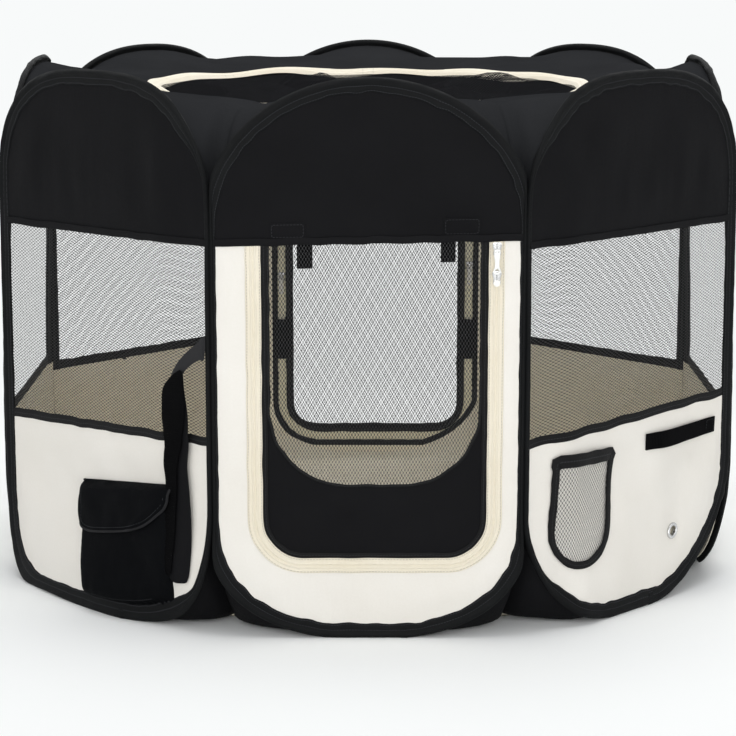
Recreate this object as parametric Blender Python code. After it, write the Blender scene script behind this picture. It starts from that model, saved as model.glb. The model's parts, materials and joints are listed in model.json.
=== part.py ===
"""Foldable dog playpen: eight sprung wire-loop panels sewn edge to edge into a ring, with two zip doors.

Every panel is a closed wire loop inside a sewn band. The band's two lips hold the edge of the panel's
cloth. A roof cloth and a base cloth close the ring above and below. Lengths are in metres.
The front panel faces -Y, and its local frame is the pattern for all panels: x runs along the panel
to the right as seen from outside, y points into the pen, and z is up from the ground.
"""

import math

import bmesh
import bpy
from mathutils import Matrix, Vector
from mathutils.geometry import tessellate_polygon

# Ring of panels
PANELS = (
    "front", "front_right", "right", "back_right", "back", "back_left", "left", "front_left",
)
SIDE = 0.340
HEIGHT = 0.580
TOP_ARCH = 0.150
BOTTOM_ARCH = 0.130
BOTTOM_POWER = 2.4
TOP_STEPS = 10
BOTTOM_STEPS = 9

# Clearances and cloth
GAP = 0.0003
LAYER_GAP = 0.0005
CLOTH = 0.001
PIVOT_MARK = 0.030

# Wire and the band sewn round it
WIRE_RADIUS = 0.0015
WIRE_SIDES = 6
BAND_WALL = 0.0009
BAND_WIDTH = 0.0155
CLOTH_TUCK = 0.0065

# Seams across every panel: the straight part of the upper cloth under its arch, and the window's foot
UPPER_SKIRT = 0.020
TAPE_EDGE = 0.205
TAPE_HEIGHT = 0.010

# Mesh windows
NET_PITCH_X = 0.060
NET_PITCH_Z = 0.050
NET_OPEN = 0.80
NET_HEM = 0.004

# Zip and doors
ZIP_TAPE = 0.016
CHAIN_WIDTH = 0.005
CHAIN_HEIGHT = 0.001
DOOR_WIDE_MARGIN = 0.025
DOOR_NARROW_MARGIN = 0.0115
DOOR_SILL = 0.078
DOOR_CORNER = 0.050
DOOR_CORNER_STEPS = 6
LEAF_BINDING = 0.010
FRONT_WINDOW_SILL = 0.163
FRONT_WINDOW_CORNER = 0.080
BACK_WINDOW_CORNER = 0.030

# Zip sliders and pulls
SLIDER_WIDTH = 0.009
SLIDER_LENGTH = 0.014
SLIDER_HEIGHT = 0.003
SLIDER_NECK = 0.006
SLIDER_SPACING = 0.026
PULL_WIDTH = 0.0065
PULL_LENGTH = 0.025
PULL_THICKNESS = 0.001
PULL_EYE = 0.0018
PULL_STEPS = 8
BACK_SLIDER_DROP = 0.125

# Storage pocket with a flap, on the front left panel
POCKET_CENTRE_X = 0.025
POCKET_WIDTH = 0.146
POCKET_ABOVE_BAND = 0.0165
POCKET_HEIGHT = 0.110
POCKET_DEPTH = 0.014
POCKET_CORNER = 0.020
FLAP_DROP = 0.054
FLAP_OVERLAP = 0.002

# Closing strap, sewn into the seam beside the pocket
STRAP_TOP = 0.312
STRAP_LOW = 0.056
STRAP_WIDTH = 0.036
STRAP_SEAM_HEIGHT = 0.026
STRAP_THICKNESS = 0.003
STRAP_CORNER = 0.022
STRAP_FROM_BAND = 0.0135
STRAP_SEAM_INSET = 0.003

# Bottle pouch, feeding grommet and hook-and-loop strap, on the front right panel
POUCH_FROM_BAND = 0.012
POUCH_WIDTH = 0.111
POUCH_ABOVE_BAND = 0.0395
POUCH_HEIGHT = 0.127
POUCH_CORNER = 0.040
POUCH_DEPTH = 0.004
POUCH_BINDING = 0.009
GROMMET_X = 0.073
GROMMET_Z = 0.075
GROMMET_HOLE = 0.005
GROMMET_TUBE = 0.0009
GROMMET_FLANGE = 0.0085
GROMMET_LIP = 0.0005
BOTTLE_STRAP_LENGTH = 0.126
BOTTLE_STRAP_HEIGHT = 0.019
BOTTLE_STRAP_THICKNESS = 0.002
BOTTLE_STRAP_FROM_TAPE = 0.009

# Roof
ROOF_SEAM = 0.008
ROOF_SEAM_START = math.radians(24)
ROOF_RIM_DROP = 0.032
ROOF_BORDER = 0.140
ROOF_SAG = 0.006
COVER_SAG = 0.020
COVER_RINGS = 3
POINTS_PER_PANEL = 6

# Base cloth and the loose mat on it
FLOOR_SEAM = 0.008
FLOOR_SEAM_START = math.radians(20)
FLOOR_CLOTH = 0.0012
FLOOR_WALL_IN = 0.003
FLOOR_WALL_SHARE = 0.5
FLOOR_TURN_IN = 0.010
FLOOR_TURN_SHARE = 0.08
FLOOR_FLAT_IN = 0.030
MAT_THICKNESS = 0.004
MAT_MARGIN = 0.010

# Sizes that follow from those above
SIDES = len(PANELS)
TURN = 2 * math.pi / SIDES
APOTHEM = SIDE / 2 / math.tan(TURN / 2)
WIRE_CHANNEL = (WIRE_RADIUS + GAP) * math.sqrt(2)
BEAD_HALF = WIRE_CHANNEL + BAND_WALL
NOSE_HALF = WIRE_RADIUS
SLOT_HALF = CLOTH / 2 + GAP
LIP_HALF = SLOT_HALF + BAND_WALL
FOLD_OFFSET = BEAD_HALF + LAYER_GAP
EDGE_INSET = (GAP / 2 + NOSE_HALF * math.sin(TURN / 2)) / math.cos(TURN / 2)
LOOP_HALF = SIDE / 2 - EDGE_INSET
LIP_EDGE = LOOP_HALF - BAND_WIDTH
CLOTH_INSET = BAND_WIDTH - CLOTH_TUCK
OUTSIDE = -CLOTH / 2
SKIN = OUTSIDE - GAP
UPPER_EDGE = HEIGHT - TOP_ARCH - UPPER_SKIRT
TAPE_FOOT = TAPE_EDGE - TAPE_HEIGHT
ROOF_RIM_HEIGHT = HEIGHT - ROOF_RIM_DROP
ROOF_ZIP_RADIUS = APOTHEM - ROOF_BORDER
POCKET_LOW = BAND_WIDTH + POCKET_ABOVE_BAND
POCKET_TOP = POCKET_LOW + POCKET_HEIGHT
POUCH_LOW = BAND_WIDTH + POUCH_ABOVE_BAND
POUCH_TOP = POUCH_LOW + POUCH_HEIGHT

# Each folding panel: its number, the panel that carries it, the corner between them, and which side
# of the cloth the fold is on (1 inner faces meet, -1 outer faces meet, 0 the two open out flat).
FOLDS = (
    (1, 0, 0, 1), (2, 1, 1, -1), (3, 2, 2, 1), (4, 3, 3, 0),
    (7, 0, 7, 0), (6, 7, 6, 1), (5, 6, 5, -1),
)

world_of = {}


def srgb(red, green, blue):
    """A colour as seen on a screen, 0 to 255, in the linear values that materials take."""
    linear = []
    for value in (red, green, blue):
        share = value / 255
        linear.append(share / 12.92 if share <= 0.04045 else ((share + 0.055) / 1.055) ** 2.4)
    return (*linear, 1.0)


def material(name, colour, roughness, metallic=0.0):
    made = bpy.data.materials.new(name)
    made.use_nodes = True
    shader = made.node_tree.nodes["Principled BSDF"]
    shader.inputs["Base Color"].default_value = colour
    shader.inputs["Roughness"].default_value = roughness
    shader.inputs["Metallic"].default_value = metallic
    made.diffuse_color = colour
    return made


def pivot(name, world, parent=None):
    """An empty on a joint's axis, which carries what moves about that joint."""
    empty = bpy.data.objects.new(name, None)
    empty.empty_display_size = PIVOT_MARK
    bpy.context.scene.collection.objects.link(empty)
    world_of[empty.name] = world
    attach(empty, world, parent)
    return empty


def attach(item, home, parent):
    """Put an object whose own frame is home under its pivot."""
    if parent is None:
        item.matrix_basis = home
        return
    item.parent = parent
    item.matrix_basis = world_of[parent.name].inverted() @ home


def panel_home(number):
    """The frame of a panel: at the middle of its foot, y into the pen."""
    return Matrix.Rotation(TURN * number, 4, "Z") @ Matrix.Translation((0, -APOTHEM, 0))


def fold_axis(corner, side):
    """The upright axis at the corner after a panel, moved to the faces that meet when folded."""
    angle = TURN * (corner + 0.5) - math.pi / 2
    radius = (APOTHEM - side * FOLD_OFFSET) / math.cos(TURN / 2)
    return Matrix.Translation((radius * math.cos(angle), radius * math.sin(angle), 0))


def mesh_object(name, points, faces, finish, home, parent=None, smooth=math.radians(35)):
    """A closed solid from points and faces, with its faces turned outwards."""
    mesh = bpy.data.meshes.new(name)
    mesh.from_pydata(points, [], faces)
    work = bmesh.new()
    work.from_mesh(mesh)
    bmesh.ops.recalc_face_normals(work, faces=work.faces)
    work.to_mesh(mesh)
    work.free()
    mesh.shade_smooth()
    mesh.set_sharp_from_angle(angle=smooth)
    mesh.materials.append(finish)
    made = bpy.data.objects.new(name, mesh)
    bpy.context.scene.collection.objects.link(made)
    attach(made, home, parent)
    return made


def plate(name, outline, near, far, finish, home, parent=None, holes=()):
    """A flat sheet cut to an outline in the panel's x and z, from depth near to depth far."""
    loops = [list(outline), *[list(hole) for hole in holes]]
    flat = [point for loop in loops for point in loop]
    count = len(flat)
    caps = tessellate_polygon([[Vector((x, z, 0)) for x, z in loop] for loop in loops])
    points = [(x, near, z) for x, z in flat] + [(x, far, z) for x, z in flat]
    faces = [tuple(cap) for cap in caps] + [tuple(corner + count for corner in reversed(cap)) for cap in caps]
    start = 0
    for loop in loops:
        for step in range(len(loop)):
            a = start + step
            b = start + (step + 1) % len(loop)
            faces.append((a, b, b + count, a + count))
        start += len(loop)
    return mesh_object(name, points, faces, finish, home, parent)


def sweep(name, frames, section, finish, home, parent=None, closed=True):
    """A section of (offset, depth) carried along frames of (x, z, offset direction)."""
    points = [
        (x + across_x * offset, depth, z + across_z * offset)
        for x, z, across_x, across_z in frames
        for offset, depth in section
    ]
    around = len(section)
    runs = len(frames) if closed else len(frames) - 1
    faces = []
    for run in range(runs):
        here = run * around
        there = (run + 1) % len(frames) * around
        for side in range(around):
            following = (side + 1) % around
            faces.append((here + side, here + following, there + following, there + side))
    if not closed:
        faces.append(tuple(range(around)))
        faces.append(tuple(range(runs * around, (runs + 1) * around)))
    return mesh_object(name, points, faces, finish, home, parent)


def ring_sheet(name, under, over, finish, parent=None, centre=None):
    """A sheet between rings of its underside and of its top; a pair of centre points closes the middle."""
    around = len(under[0])
    points = []
    for side, rings in enumerate((under, over)):
        points += [tuple(point) for ring in rings for point in ring]
        if centre:
            points.append(centre[side])
    layer = len(points) // 2
    faces = []
    last = (len(under) - 1) * around
    for step in range(around):
        following = (step + 1) % around
        for ring in range(len(under) - 1):
            low = ring * around
            high = low + around
            below = (low + step, low + following, high + following, high + step)
            faces += [below, tuple(corner + layer for corner in below)]
        faces.append((step, following, following + layer, step + layer))
        if centre:
            fan = (last + step, last + following, layer - 1)
            faces += [fan, tuple(corner + layer for corner in fan)]
        else:
            faces.append((last + step, last + following, last + following + layer, last + step + layer))
    return mesh_object(name, points, faces, finish, Matrix.Identity(4), parent)


def cut(item, cutter, operation="DIFFERENCE"):
    """Cut one object from another, or join it on, and keep the tool out of the model."""
    tool = item.modifiers.new(cutter.name, "BOOLEAN")
    tool.operation = operation
    tool.object = cutter
    cutter.hide_render = True
    cutter.display_type = "WIRE"


def rectangle(low_x, high_x, low_z, high_z):
    return [(low_x, low_z), (high_x, low_z), (high_x, high_z), (low_x, high_z)]


def top_frame(angle):
    """A point of the loop's elliptical top and its inward direction; 0 is at the right side."""
    rise = math.sin(angle)
    run = math.cos(angle)
    inward = Vector((-run / LOOP_HALF, -rise / TOP_ARCH)).normalized()
    return LOOP_HALF * run, HEIGHT - TOP_ARCH * (1 - rise), inward.x, inward.y


def bottom_frame(angle):
    """A point of the loop's squarer bottom and its inward direction; 0 is at the left side.

    The middle run between two points lies flat on the ground.
    """
    share = 2 / BOTTOM_POWER
    middle = math.cos(math.pi / 2 / BOTTOM_STEPS) ** share
    run = math.cos(angle)
    across = math.copysign(abs(run) ** share, run)
    depth = abs(math.sin(angle)) ** share
    steep = math.copysign(abs(run) ** (2 - share), run)
    inward = Vector((steep / LOOP_HALF, abs(math.sin(angle)) ** (2 - share) / BOTTOM_ARCH)).normalized()
    return -LOOP_HALF * across, BOTTOM_ARCH * (1 - depth / middle), inward.x, inward.y


def top_frames():
    return [top_frame(math.pi * step / TOP_STEPS) for step in range(TOP_STEPS + 1)]


def bottom_frames():
    return [bottom_frame(math.pi * step / BOTTOM_STEPS) for step in range(BOTTOM_STEPS + 1)]


def moved(frames, distance=0.0):
    """Each point of a line moved along the direction it carries."""
    return [(x + across_x * distance, z + across_z * distance) for x, z, across_x, across_z in frames]


def band_half(distance):
    """Half the band's thickness at a distance in from its outer edge."""
    past_bead = max(distance - BEAD_HALF, 0) / (BAND_WIDTH - BEAD_HALF)
    return BEAD_HALF + (LIP_HALF - BEAD_HALF) * past_bead


def binding_section():
    """Half a bead round the wire's channel, tapering to two lips with a slot between them."""
    outer = [(0, NOSE_HALF), (BEAD_HALF, BEAD_HALF), (BAND_WIDTH, LIP_HALF)]
    channel = [(BAND_WIDTH, SLOT_HALF), (BEAD_HALF, WIRE_CHANNEL), (BEAD_HALF - WIRE_CHANNEL, 0)]
    mirrored = [(offset, -depth) for offset, depth in reversed(outer + channel[:2])]
    return outer + channel + mirrored


def wire_section():
    turns = [2 * math.pi * side / WIRE_SIDES for side in range(WIRE_SIDES)]
    return [(BEAD_HALF + WIRE_RADIUS * math.cos(turn), WIRE_RADIUS * math.sin(turn)) for turn in turns]


def door_frames(hand):
    """The zip's middle line: down the right side, round the sill and up the left, facing outwards."""
    left_margin, right_margin = DOOR_WIDE_MARGIN, DOOR_NARROW_MARGIN
    if hand < 0:
        left_margin, right_margin = right_margin, left_margin
    left = -LIP_EDGE + left_margin + ZIP_TAPE / 2
    right = LIP_EDGE - right_margin - ZIP_TAPE / 2
    return u_frames(left, right, DOOR_SILL, UPPER_EDGE - GAP, DOOR_CORNER)


def u_frames(left, right, low, high, corner):
    """A U from the top right, round the foot, to the top left, with the direction out of the U."""
    frames = [(right, high, 1, 0)]
    for middle, start in ((right - corner, 0), (left + corner, -math.pi / 2)):
        for step in range(DOOR_CORNER_STEPS + 1):
            angle = start - math.pi / 2 * step / DOOR_CORNER_STEPS
            out_x = math.cos(angle)
            out_z = math.sin(angle)
            frames.append((middle + corner * out_x, low + corner + corner * out_z, out_x, out_z))
    frames.append((left, high, -1, 0))
    return frames


def net_gaps(left, right, low, high, border=None):
    """Diamond gaps in staggered rows; border leaves out those that would break a curved edge."""
    columns = max(1, round((right - left) / NET_PITCH_X))
    rows = max(1, round((high - low) / NET_PITCH_Z))
    step_x = (right - left) / columns
    step_z = (high - low) / rows
    half_x = step_x / 2 * NET_OPEN
    half_z = step_z / 2 * NET_OPEN
    gaps = []
    for row in range(2 * rows - 1):
        between = row % 2
        for column in range(columns - between):
            x = left + step_x * (column + (between + 1) / 2)
            z = low + step_z * (row + 1) / 2
            gap = [(x + half_x, z), (x, z + half_z), (x - half_x, z), (x, z - half_z)]
            if border is None or all(inside(corner, border) for corner in gap):
                gaps.append(gap)
    return gaps


def inside(point, outline):
    """Whether a point lies within an outline, by counting the edges to its right."""
    crossings = 0
    for (ax, az), (bx, bz) in zip(outline, outline[1:] + outline[:1]):
        if (az > point[1]) != (bz > point[1]):
            crossings += point[0] < ax + (point[1] - az) / (bz - az) * (bx - ax)
    return crossings % 2 == 1


def make_loop(name, home, parent):
    """The wire loop and the band sewn round it."""
    frames = top_frames() + bottom_frames()
    sweep(f"{name}_wire", frames, wire_section(), finishes["wire"], home, parent)
    sweep(f"{name}_binding", frames, binding_section(), finishes["binding"], home, parent)


def make_upper_cloth(name, home, parent):
    arch = moved(top_frames(), CLOTH_INSET)
    half = LOOP_HALF - CLOTH_INSET
    outline = [(half, UPPER_EDGE), *arch, (-half, UPPER_EDGE)]
    plate(f"{name}_upper_cloth", outline, OUTSIDE, -OUTSIDE, finishes["black cloth"], home, parent)


def make_window(name, home, parent):
    """The mesh window, with the black tape along its foot."""
    half = LOOP_HALF - CLOTH_INSET
    high = UPPER_EDGE - GAP
    gaps = net_gaps(-LIP_EDGE, LIP_EDGE, TAPE_EDGE, high - NET_HEM)
    outline = rectangle(-half, half, TAPE_FOOT, high)
    finish = finishes["mesh"]
    plate(f"{name}_window_mesh", outline, OUTSIDE, -OUTSIDE, finish, home, parent, gaps)


def make_lower_cloth(name, home, parent, holes=()):
    half = LOOP_HALF - CLOTH_INSET
    top = TAPE_FOOT - GAP
    foot = moved(bottom_frames(), CLOTH_INSET)
    outline = [(-half, top), *foot, (half, top)]
    finish = finishes["cream cloth"]
    plate(f"{name}_lower_cloth", outline, OUTSIDE, -OUTSIDE, finish, home, parent, holes)


def make_doorway(name, home, parent, hand):
    """The cream surround below the upper cloth and the zip along its opening."""
    zip_line = door_frames(hand)
    half = LOOP_HALF - CLOTH_INSET
    top = UPPER_EDGE - GAP
    foot = moved(bottom_frames(), CLOTH_INSET)
    opening = moved(zip_line, ZIP_TAPE / 2 + GAP)
    outline = [(-half, top), *foot, (half, top), *opening]
    finish = finishes["cream cloth"]
    plate(f"{name}_surround", outline, OUTSIDE, -OUTSIDE, finish, home, parent)
    sweep(f"{name}_zip", zip_line, zip_section(), finishes["zip"], home, parent, closed=False)


def zip_section():
    """A flat tape with the chain of teeth standing on its outer face."""
    crown = CHAIN_WIDTH / 2 - CHAIN_HEIGHT / 2
    chain = OUTSIDE - CHAIN_HEIGHT
    outer = [(ZIP_TAPE / 2, OUTSIDE), (CHAIN_WIDTH / 2, OUTSIDE), (crown, chain)]
    return [(-ZIP_TAPE / 2, -OUTSIDE), (ZIP_TAPE / 2, -OUTSIDE), *outer] + [
        (-offset, depth) for offset, depth in reversed(outer)
    ]


def make_door(name, home, pivot_empty, hand, window_sill, window_corner):
    """A door leaf hung from the upper cloth: a black cloth U that frames a mesh window."""
    edge = ZIP_TAPE / 2 + GAP
    leaf = moved(door_frames(hand), -edge)
    right = leaf[0][0] - LEAF_BINDING
    left = leaf[-1][0] + LEAF_BINDING
    top = leaf[0][1]
    window = u_frames(left, right, window_sill, top, window_corner)
    cloth = [*leaf, *reversed(moved(window))]
    finish = finishes["black cloth"]
    plate(f"{name}_door_cloth", cloth, OUTSIDE, -OUTSIDE, finish, home, pivot_empty)
    mesh_edge = moved(window, -GAP)
    border = moved(window, -GAP - NET_HEM)
    gaps = net_gaps(left + NET_HEM, right - NET_HEM, window_sill + NET_HEM, top - NET_HEM, border)
    plate(f"{name}_door_mesh", mesh_edge, OUTSIDE, -OUTSIDE, finishes["mesh"], home, pivot_empty, gaps)


def door_pivot(name, home, parent):
    """The door's axis: along the foot of the upper cloth, on its outer face."""
    return pivot(f"{name}_door_pivot", home @ Matrix.Translation((0, SKIN, UPPER_EDGE)), parent)


def slider_outline(x, z):
    """A slider seen from the front: wide shoulders above, a narrow mouth below, centred on z."""
    half = SLIDER_WIDTH / 2
    neck = SLIDER_NECK / 2
    long = SLIDER_LENGTH / 2
    chamfer = (half - neck) / 2
    right = [(neck, -long), (half, -long + 2 * chamfer), (half, long - chamfer), (neck, long)]
    return [(x + a, z + b) for a, b in right] + [(x - a, z + b) for a, b in reversed(right)]


def pull_outline(x, z):
    """A pull that hangs from height z, with a rounded end."""
    half = PULL_WIDTH / 2
    turns = [math.pi * step / PULL_STEPS for step in range(PULL_STEPS + 1)]
    end = z - PULL_LENGTH + half
    return [(x - half, z), (x + half, z)] + [
        (x + half * math.cos(turn), end - half * math.sin(turn)) for turn in turns
    ]


def make_front_sliders(home, parent):
    """Two sliders at the top of the right side; the upper one carries a swinging pull."""
    zip_x = door_frames(1)[0][0]
    seat = OUTSIDE - CHAIN_HEIGHT - GAP
    face = seat - SLIDER_HEIGHT
    upper_z = UPPER_EDGE - GAP - SLIDER_LENGTH / 2
    lower_z = upper_z - SLIDER_SPACING
    metal = finishes["metal"]
    for name, z in (("upper", upper_z), ("lower", lower_z)):
        axis = pivot(f"front_slider_{name}_pivot", home @ Matrix.Translation((zip_x, face, z)), parent)
        plate(f"front_slider_{name}", slider_outline(zip_x, z), face, seat, metal, home, axis)
    near = face - GAP
    pull_axis = pivot(
        "front_pull_pivot",
        home @ Matrix.Translation((zip_x, near, upper_z)),
        bpy.data.objects["front_slider_upper_pivot"],
    )
    outline = pull_outline(zip_x, upper_z)
    eye = circle(zip_x, upper_z - PULL_LENGTH + PULL_WIDTH / 2, PULL_EYE, PULL_STEPS)
    plate("front_pull", outline, near - PULL_THICKNESS, near, metal, home, pull_axis, [eye])


def make_back_slider(home, parent):
    """The back door's slider, on the inner face, with its pull hanging from it."""
    zip_x = door_frames(-1)[-1][0]
    seat = -OUTSIDE + GAP
    z = UPPER_EDGE - BACK_SLIDER_DROP
    axis = pivot("back_slider_pivot", home @ Matrix.Translation((zip_x, seat, z)), parent)
    body = slider_outline(zip_x, z)
    metal = finishes["metal"]
    slider = plate("back_slider", body, seat, seat + SLIDER_HEIGHT, metal, home, axis)
    bite = PULL_THICKNESS / 2
    face = seat + SLIDER_HEIGHT - bite
    tail = plate("back_pull", pull_outline(zip_x, z), face, face + PULL_THICKNESS, metal, home, axis)
    cut(slider, tail, "UNION")


def rounded_foot(left, right, low, high, corner):
    """A pocket outline: square at the top, rounded below."""
    return moved(u_frames(left, right, low, high, corner))


def make_pocket(home, parent):
    """A patch pocket open at the top, and the flap that hangs over it from the wall."""
    left = POCKET_CENTRE_X - POCKET_WIDTH / 2
    right = POCKET_CENTRE_X + POCKET_WIDTH / 2
    front = SKIN - POCKET_DEPTH
    black = finishes["black cloth"]
    pocket_line = rounded_foot(left, right, POCKET_LOW, POCKET_TOP, POCKET_CORNER)
    pocket = plate("pocket", pocket_line, front, SKIN, black, home, parent)
    room = rounded_foot(
        left + CLOTH, right - CLOTH, POCKET_LOW + CLOTH, POCKET_TOP + POCKET_DEPTH, POCKET_CORNER - CLOTH
    )
    cut(pocket, plate("pocket_room", room, front + CLOTH, -SKIN, black, home, parent))
    lid_low = POCKET_TOP + GAP
    hinge_z = lid_low + CLOTH
    axis = pivot("pocket_flap_pivot", home @ Matrix.Translation((0, SKIN, hinge_z)), parent)
    flap_back = front - GAP
    flap_front = flap_back - CLOTH
    flap_line = rounded_foot(
        left - FLAP_OVERLAP, right + FLAP_OVERLAP, lid_low - FLAP_DROP, hinge_z, POCKET_CORNER
    )
    flap = plate("pocket_flap", flap_line, flap_front, flap_back, black, home, axis)
    lid = rectangle(left - FLAP_OVERLAP, right + FLAP_OVERLAP, lid_low, hinge_z)
    cut(flap, plate("flap_lid", lid, flap_front, SKIN, black, home, axis), "UNION")


def make_closing_strap(home, parent):
    """Doubled webbing that leaves the seam sideways, turns down and hangs in front of the panel."""
    near = -BEAD_HALF - GAP
    seam = LOOP_HALF - STRAP_SEAM_INSET
    right = LIP_EDGE - STRAP_FROM_BAND
    left = right - STRAP_WIDTH
    under = STRAP_TOP - STRAP_SEAM_HEIGHT
    turn = [
        (left + STRAP_CORNER * (1 - math.sin(angle)), STRAP_TOP - STRAP_CORNER * (1 - math.cos(angle)))
        for angle in (math.pi / 2 * step / DOOR_CORNER_STEPS for step in range(DOOR_CORNER_STEPS + 1))
    ]
    outline = [
        (seam, under), (seam, STRAP_TOP), *turn, (left, STRAP_LOW), (right, STRAP_LOW), (right, under),
    ]
    finish = finishes["webbing"]
    plate("closing_strap", outline, near - STRAP_THICKNESS, near, finish, home, parent)


def make_pouch(home, parent):
    """A flat mesh pouch, bound round its edge and open at the top."""
    left = -LIP_EDGE + POUCH_FROM_BAND
    right = left + POUCH_WIDTH
    front = SKIN - POUCH_DEPTH
    finish = finishes["mesh"]
    edge = rounded_foot(left, right, POUCH_LOW, POUCH_TOP, POUCH_CORNER)
    inner = u_frames(left, right, POUCH_LOW, POUCH_TOP, POUCH_CORNER)
    gaps = net_gaps(
        left + POUCH_BINDING, right - POUCH_BINDING, POUCH_LOW + POUCH_BINDING,
        POUCH_TOP - POUCH_BINDING, moved(inner, -POUCH_BINDING),
    )
    pouch = plate("pouch", edge, front, SKIN, finish, home, parent, gaps)
    room = rounded_foot(
        left + CLOTH, right - CLOTH, POUCH_LOW + CLOTH, POUCH_TOP + POUCH_DEPTH, POUCH_CORNER - CLOTH
    )
    cut(pouch, plate("pouch_room", room, front + CLOTH, -SKIN, finish, home, parent))


def circle(x, z, radius, steps=16):
    turns = [2 * math.pi * step / steps for step in range(steps)]
    return [(x + radius * math.cos(turn), z + radius * math.sin(turn)) for turn in turns]


def grommet_cut():
    """The hole that the grommet's tube passes through."""
    return circle(GROMMET_X, GROMMET_Z, GROMMET_HOLE + GROMMET_TUBE + 2 * GAP)


def make_grommet(home, parent):
    """A metal spool clamped through the cloth."""
    rim = CLOTH / 2 + GAP
    out = rim + GROMMET_LIP
    tube = GROMMET_HOLE + GROMMET_TUBE
    half = [(GROMMET_HOLE, out), (GROMMET_FLANGE, out), (GROMMET_FLANGE, rim), (tube, rim)]
    section = half + [(radius, -depth) for radius, depth in reversed(half)]
    frames = [(GROMMET_X, GROMMET_Z, x, z) for x, z in circle(0, 0, 1)]
    sweep("grommet", frames, section, finishes["metal"], home, parent)


def make_bottle_strap(home, parent):
    """A hook-and-loop strip sewn below the window tape, up to the band."""
    right = LIP_EDGE - GAP
    high = TAPE_FOOT - BOTTLE_STRAP_FROM_TAPE
    outline = rectangle(right - BOTTLE_STRAP_LENGTH, right, high - BOTTLE_STRAP_HEIGHT, high)
    finish = finishes["webbing"]
    plate("bottle_strap", outline, SKIN - BOTTLE_STRAP_THICKNESS, SKIN, finish, home, parent)


def seam_ring(frame_at, start, seam):
    """Points along every panel's band where the roof or base cloth is sewn to its inner face."""
    depth = band_half(seam - CLOTH) + GAP
    ring = []
    for number in range(SIDES):
        home = panel_home(number)
        points = []
        for step in range(POINTS_PER_PANEL):
            angle = start + (math.pi - 2 * start) * step / (POINTS_PER_PANEL - 1)
            x, z, across_x, across_z = frame_at(angle)
            points.append((x + across_x * seam, depth, z + across_z * seam))
        points.sort()
        ring += [home @ Vector(point) for point in points]
    return ring


def even_ring(radius, height):
    """A circle with the same count of points as a seam ring, each facing its partner."""
    count = SIDES * POINTS_PER_PANEL
    first = -math.pi / 2 - TURN / 2 + TURN / POINTS_PER_PANEL / 2
    turns = [first + 2 * math.pi * step / count for step in range(count)]
    return [Vector((radius * math.cos(turn), radius * math.sin(turn), height)) for turn in turns]


def between(first, second, share, drop=0.0):
    lowered = Vector((0, 0, drop))
    return [a.lerp(b, share) - lowered for a, b in zip(first, second)]


def raised(rings, rise):
    return [[point + Vector((0, 0, rise)) for point in ring] for ring in rings]


def make_roof():
    """The roof cloth from the arches to the rim, the zip round the rim, and the mesh cover in it."""
    under_rim = ROOF_RIM_HEIGHT - CLOTH / 2
    outer = seam_ring(top_frame, ROOF_SEAM_START, ROOF_SEAM)
    inner = even_ring(ROOF_ZIP_RADIUS + ZIP_TAPE / 2 + GAP, under_rim)
    cloth = [outer, between(outer, inner, 0.5, ROOF_SAG), inner]
    ring_sheet("roof_cloth", cloth, raised(cloth, CLOTH), finishes["black cloth"])

    lying = Matrix.Translation((0, 0, ROOF_RIM_HEIGHT)) @ Matrix.Rotation(-math.pi / 2, 4, "X")
    frames = [
        (point.x * ROOF_ZIP_RADIUS, point.y * ROOF_ZIP_RADIUS, point.x, point.y)
        for point in even_ring(1.0, 0)
    ]
    sweep("roof_zip", frames, zip_section(), finishes["zip"], lying)

    edge = ROOF_ZIP_RADIUS - ZIP_TAPE / 2 - GAP
    axis = pivot("roof_cover_pivot", Matrix.Translation((0, edge, ROOF_RIM_HEIGHT + CLOTH / 2)))
    shares = [1 - number / COVER_RINGS for number in range(COVER_RINGS)]
    cover = [even_ring(edge * share, under_rim - COVER_SAG * (1 - share**2)) for share in shares]
    low = (0, 0, under_rim - COVER_SAG)
    high = (0, 0, under_rim - COVER_SAG + CLOTH)
    ring_sheet("roof_cover", cover, raised(cover, CLOTH), finishes["mesh"], axis, (low, high))


def make_base():
    """The base cloth, turned up to the loops at its edge, and the loose mat lying on it."""
    seam = seam_ring(bottom_frame, FLOOR_SEAM_START, FLOOR_SEAM)
    rows = (
        (0, 1, (FLOOR_CLOTH, 0)),
        (FLOOR_WALL_IN, FLOOR_WALL_SHARE, (FLOOR_CLOTH, 0)),
        (FLOOR_TURN_IN, FLOOR_TURN_SHARE, (FLOOR_CLOTH * math.sqrt(0.5), FLOOR_CLOTH * math.sqrt(0.5))),
        (FLOOR_FLAT_IN, 0, (0, FLOOR_CLOTH)),
    )
    under = []
    over = []
    for reach, share, (inwards, upwards) in rows:
        ring = []
        lift = []
        for point in seam:
            inward = -Vector((point.x, point.y, 0)).normalized()
            ring.append(Vector((point.x, point.y, point.z * share)) + inward * reach)
            lift.append(ring[-1] + inward * inwards + Vector((0, 0, upwards)))
        under.append(ring)
        over.append(lift)
    middle = ((0, 0, 0), (0, 0, FLOOR_CLOTH))
    ring_sheet("floor", under, over, finishes["black cloth"], None, middle)

    reach = (APOTHEM - BEAD_HALF - FLOOR_FLAT_IN - MAT_MARGIN) / math.cos(TURN / 2)
    corners = [TURN * (number + 0.5) - math.pi / 2 for number in range(SIDES)]
    low = FLOOR_CLOTH + GAP
    mat = [[Vector((reach * math.cos(turn), reach * math.sin(turn), low)) for turn in corners]]
    middle = ((0, 0, low), (0, 0, low + MAT_THICKNESS))
    ring_sheet("floor_mat", mat, raised(mat, MAT_THICKNESS), finishes["mat"], None, middle)


def make_pivots():
    """One empty on each fold axis, each under the empty of the panel that carries it."""
    pivots = {0: None}
    for number, carrier, corner, side in FOLDS:
        axis = fold_axis(corner, side)
        pivots[number] = pivot(f"{PANELS[number]}_pivot", axis, pivots[carrier])
    return pivots


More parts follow.
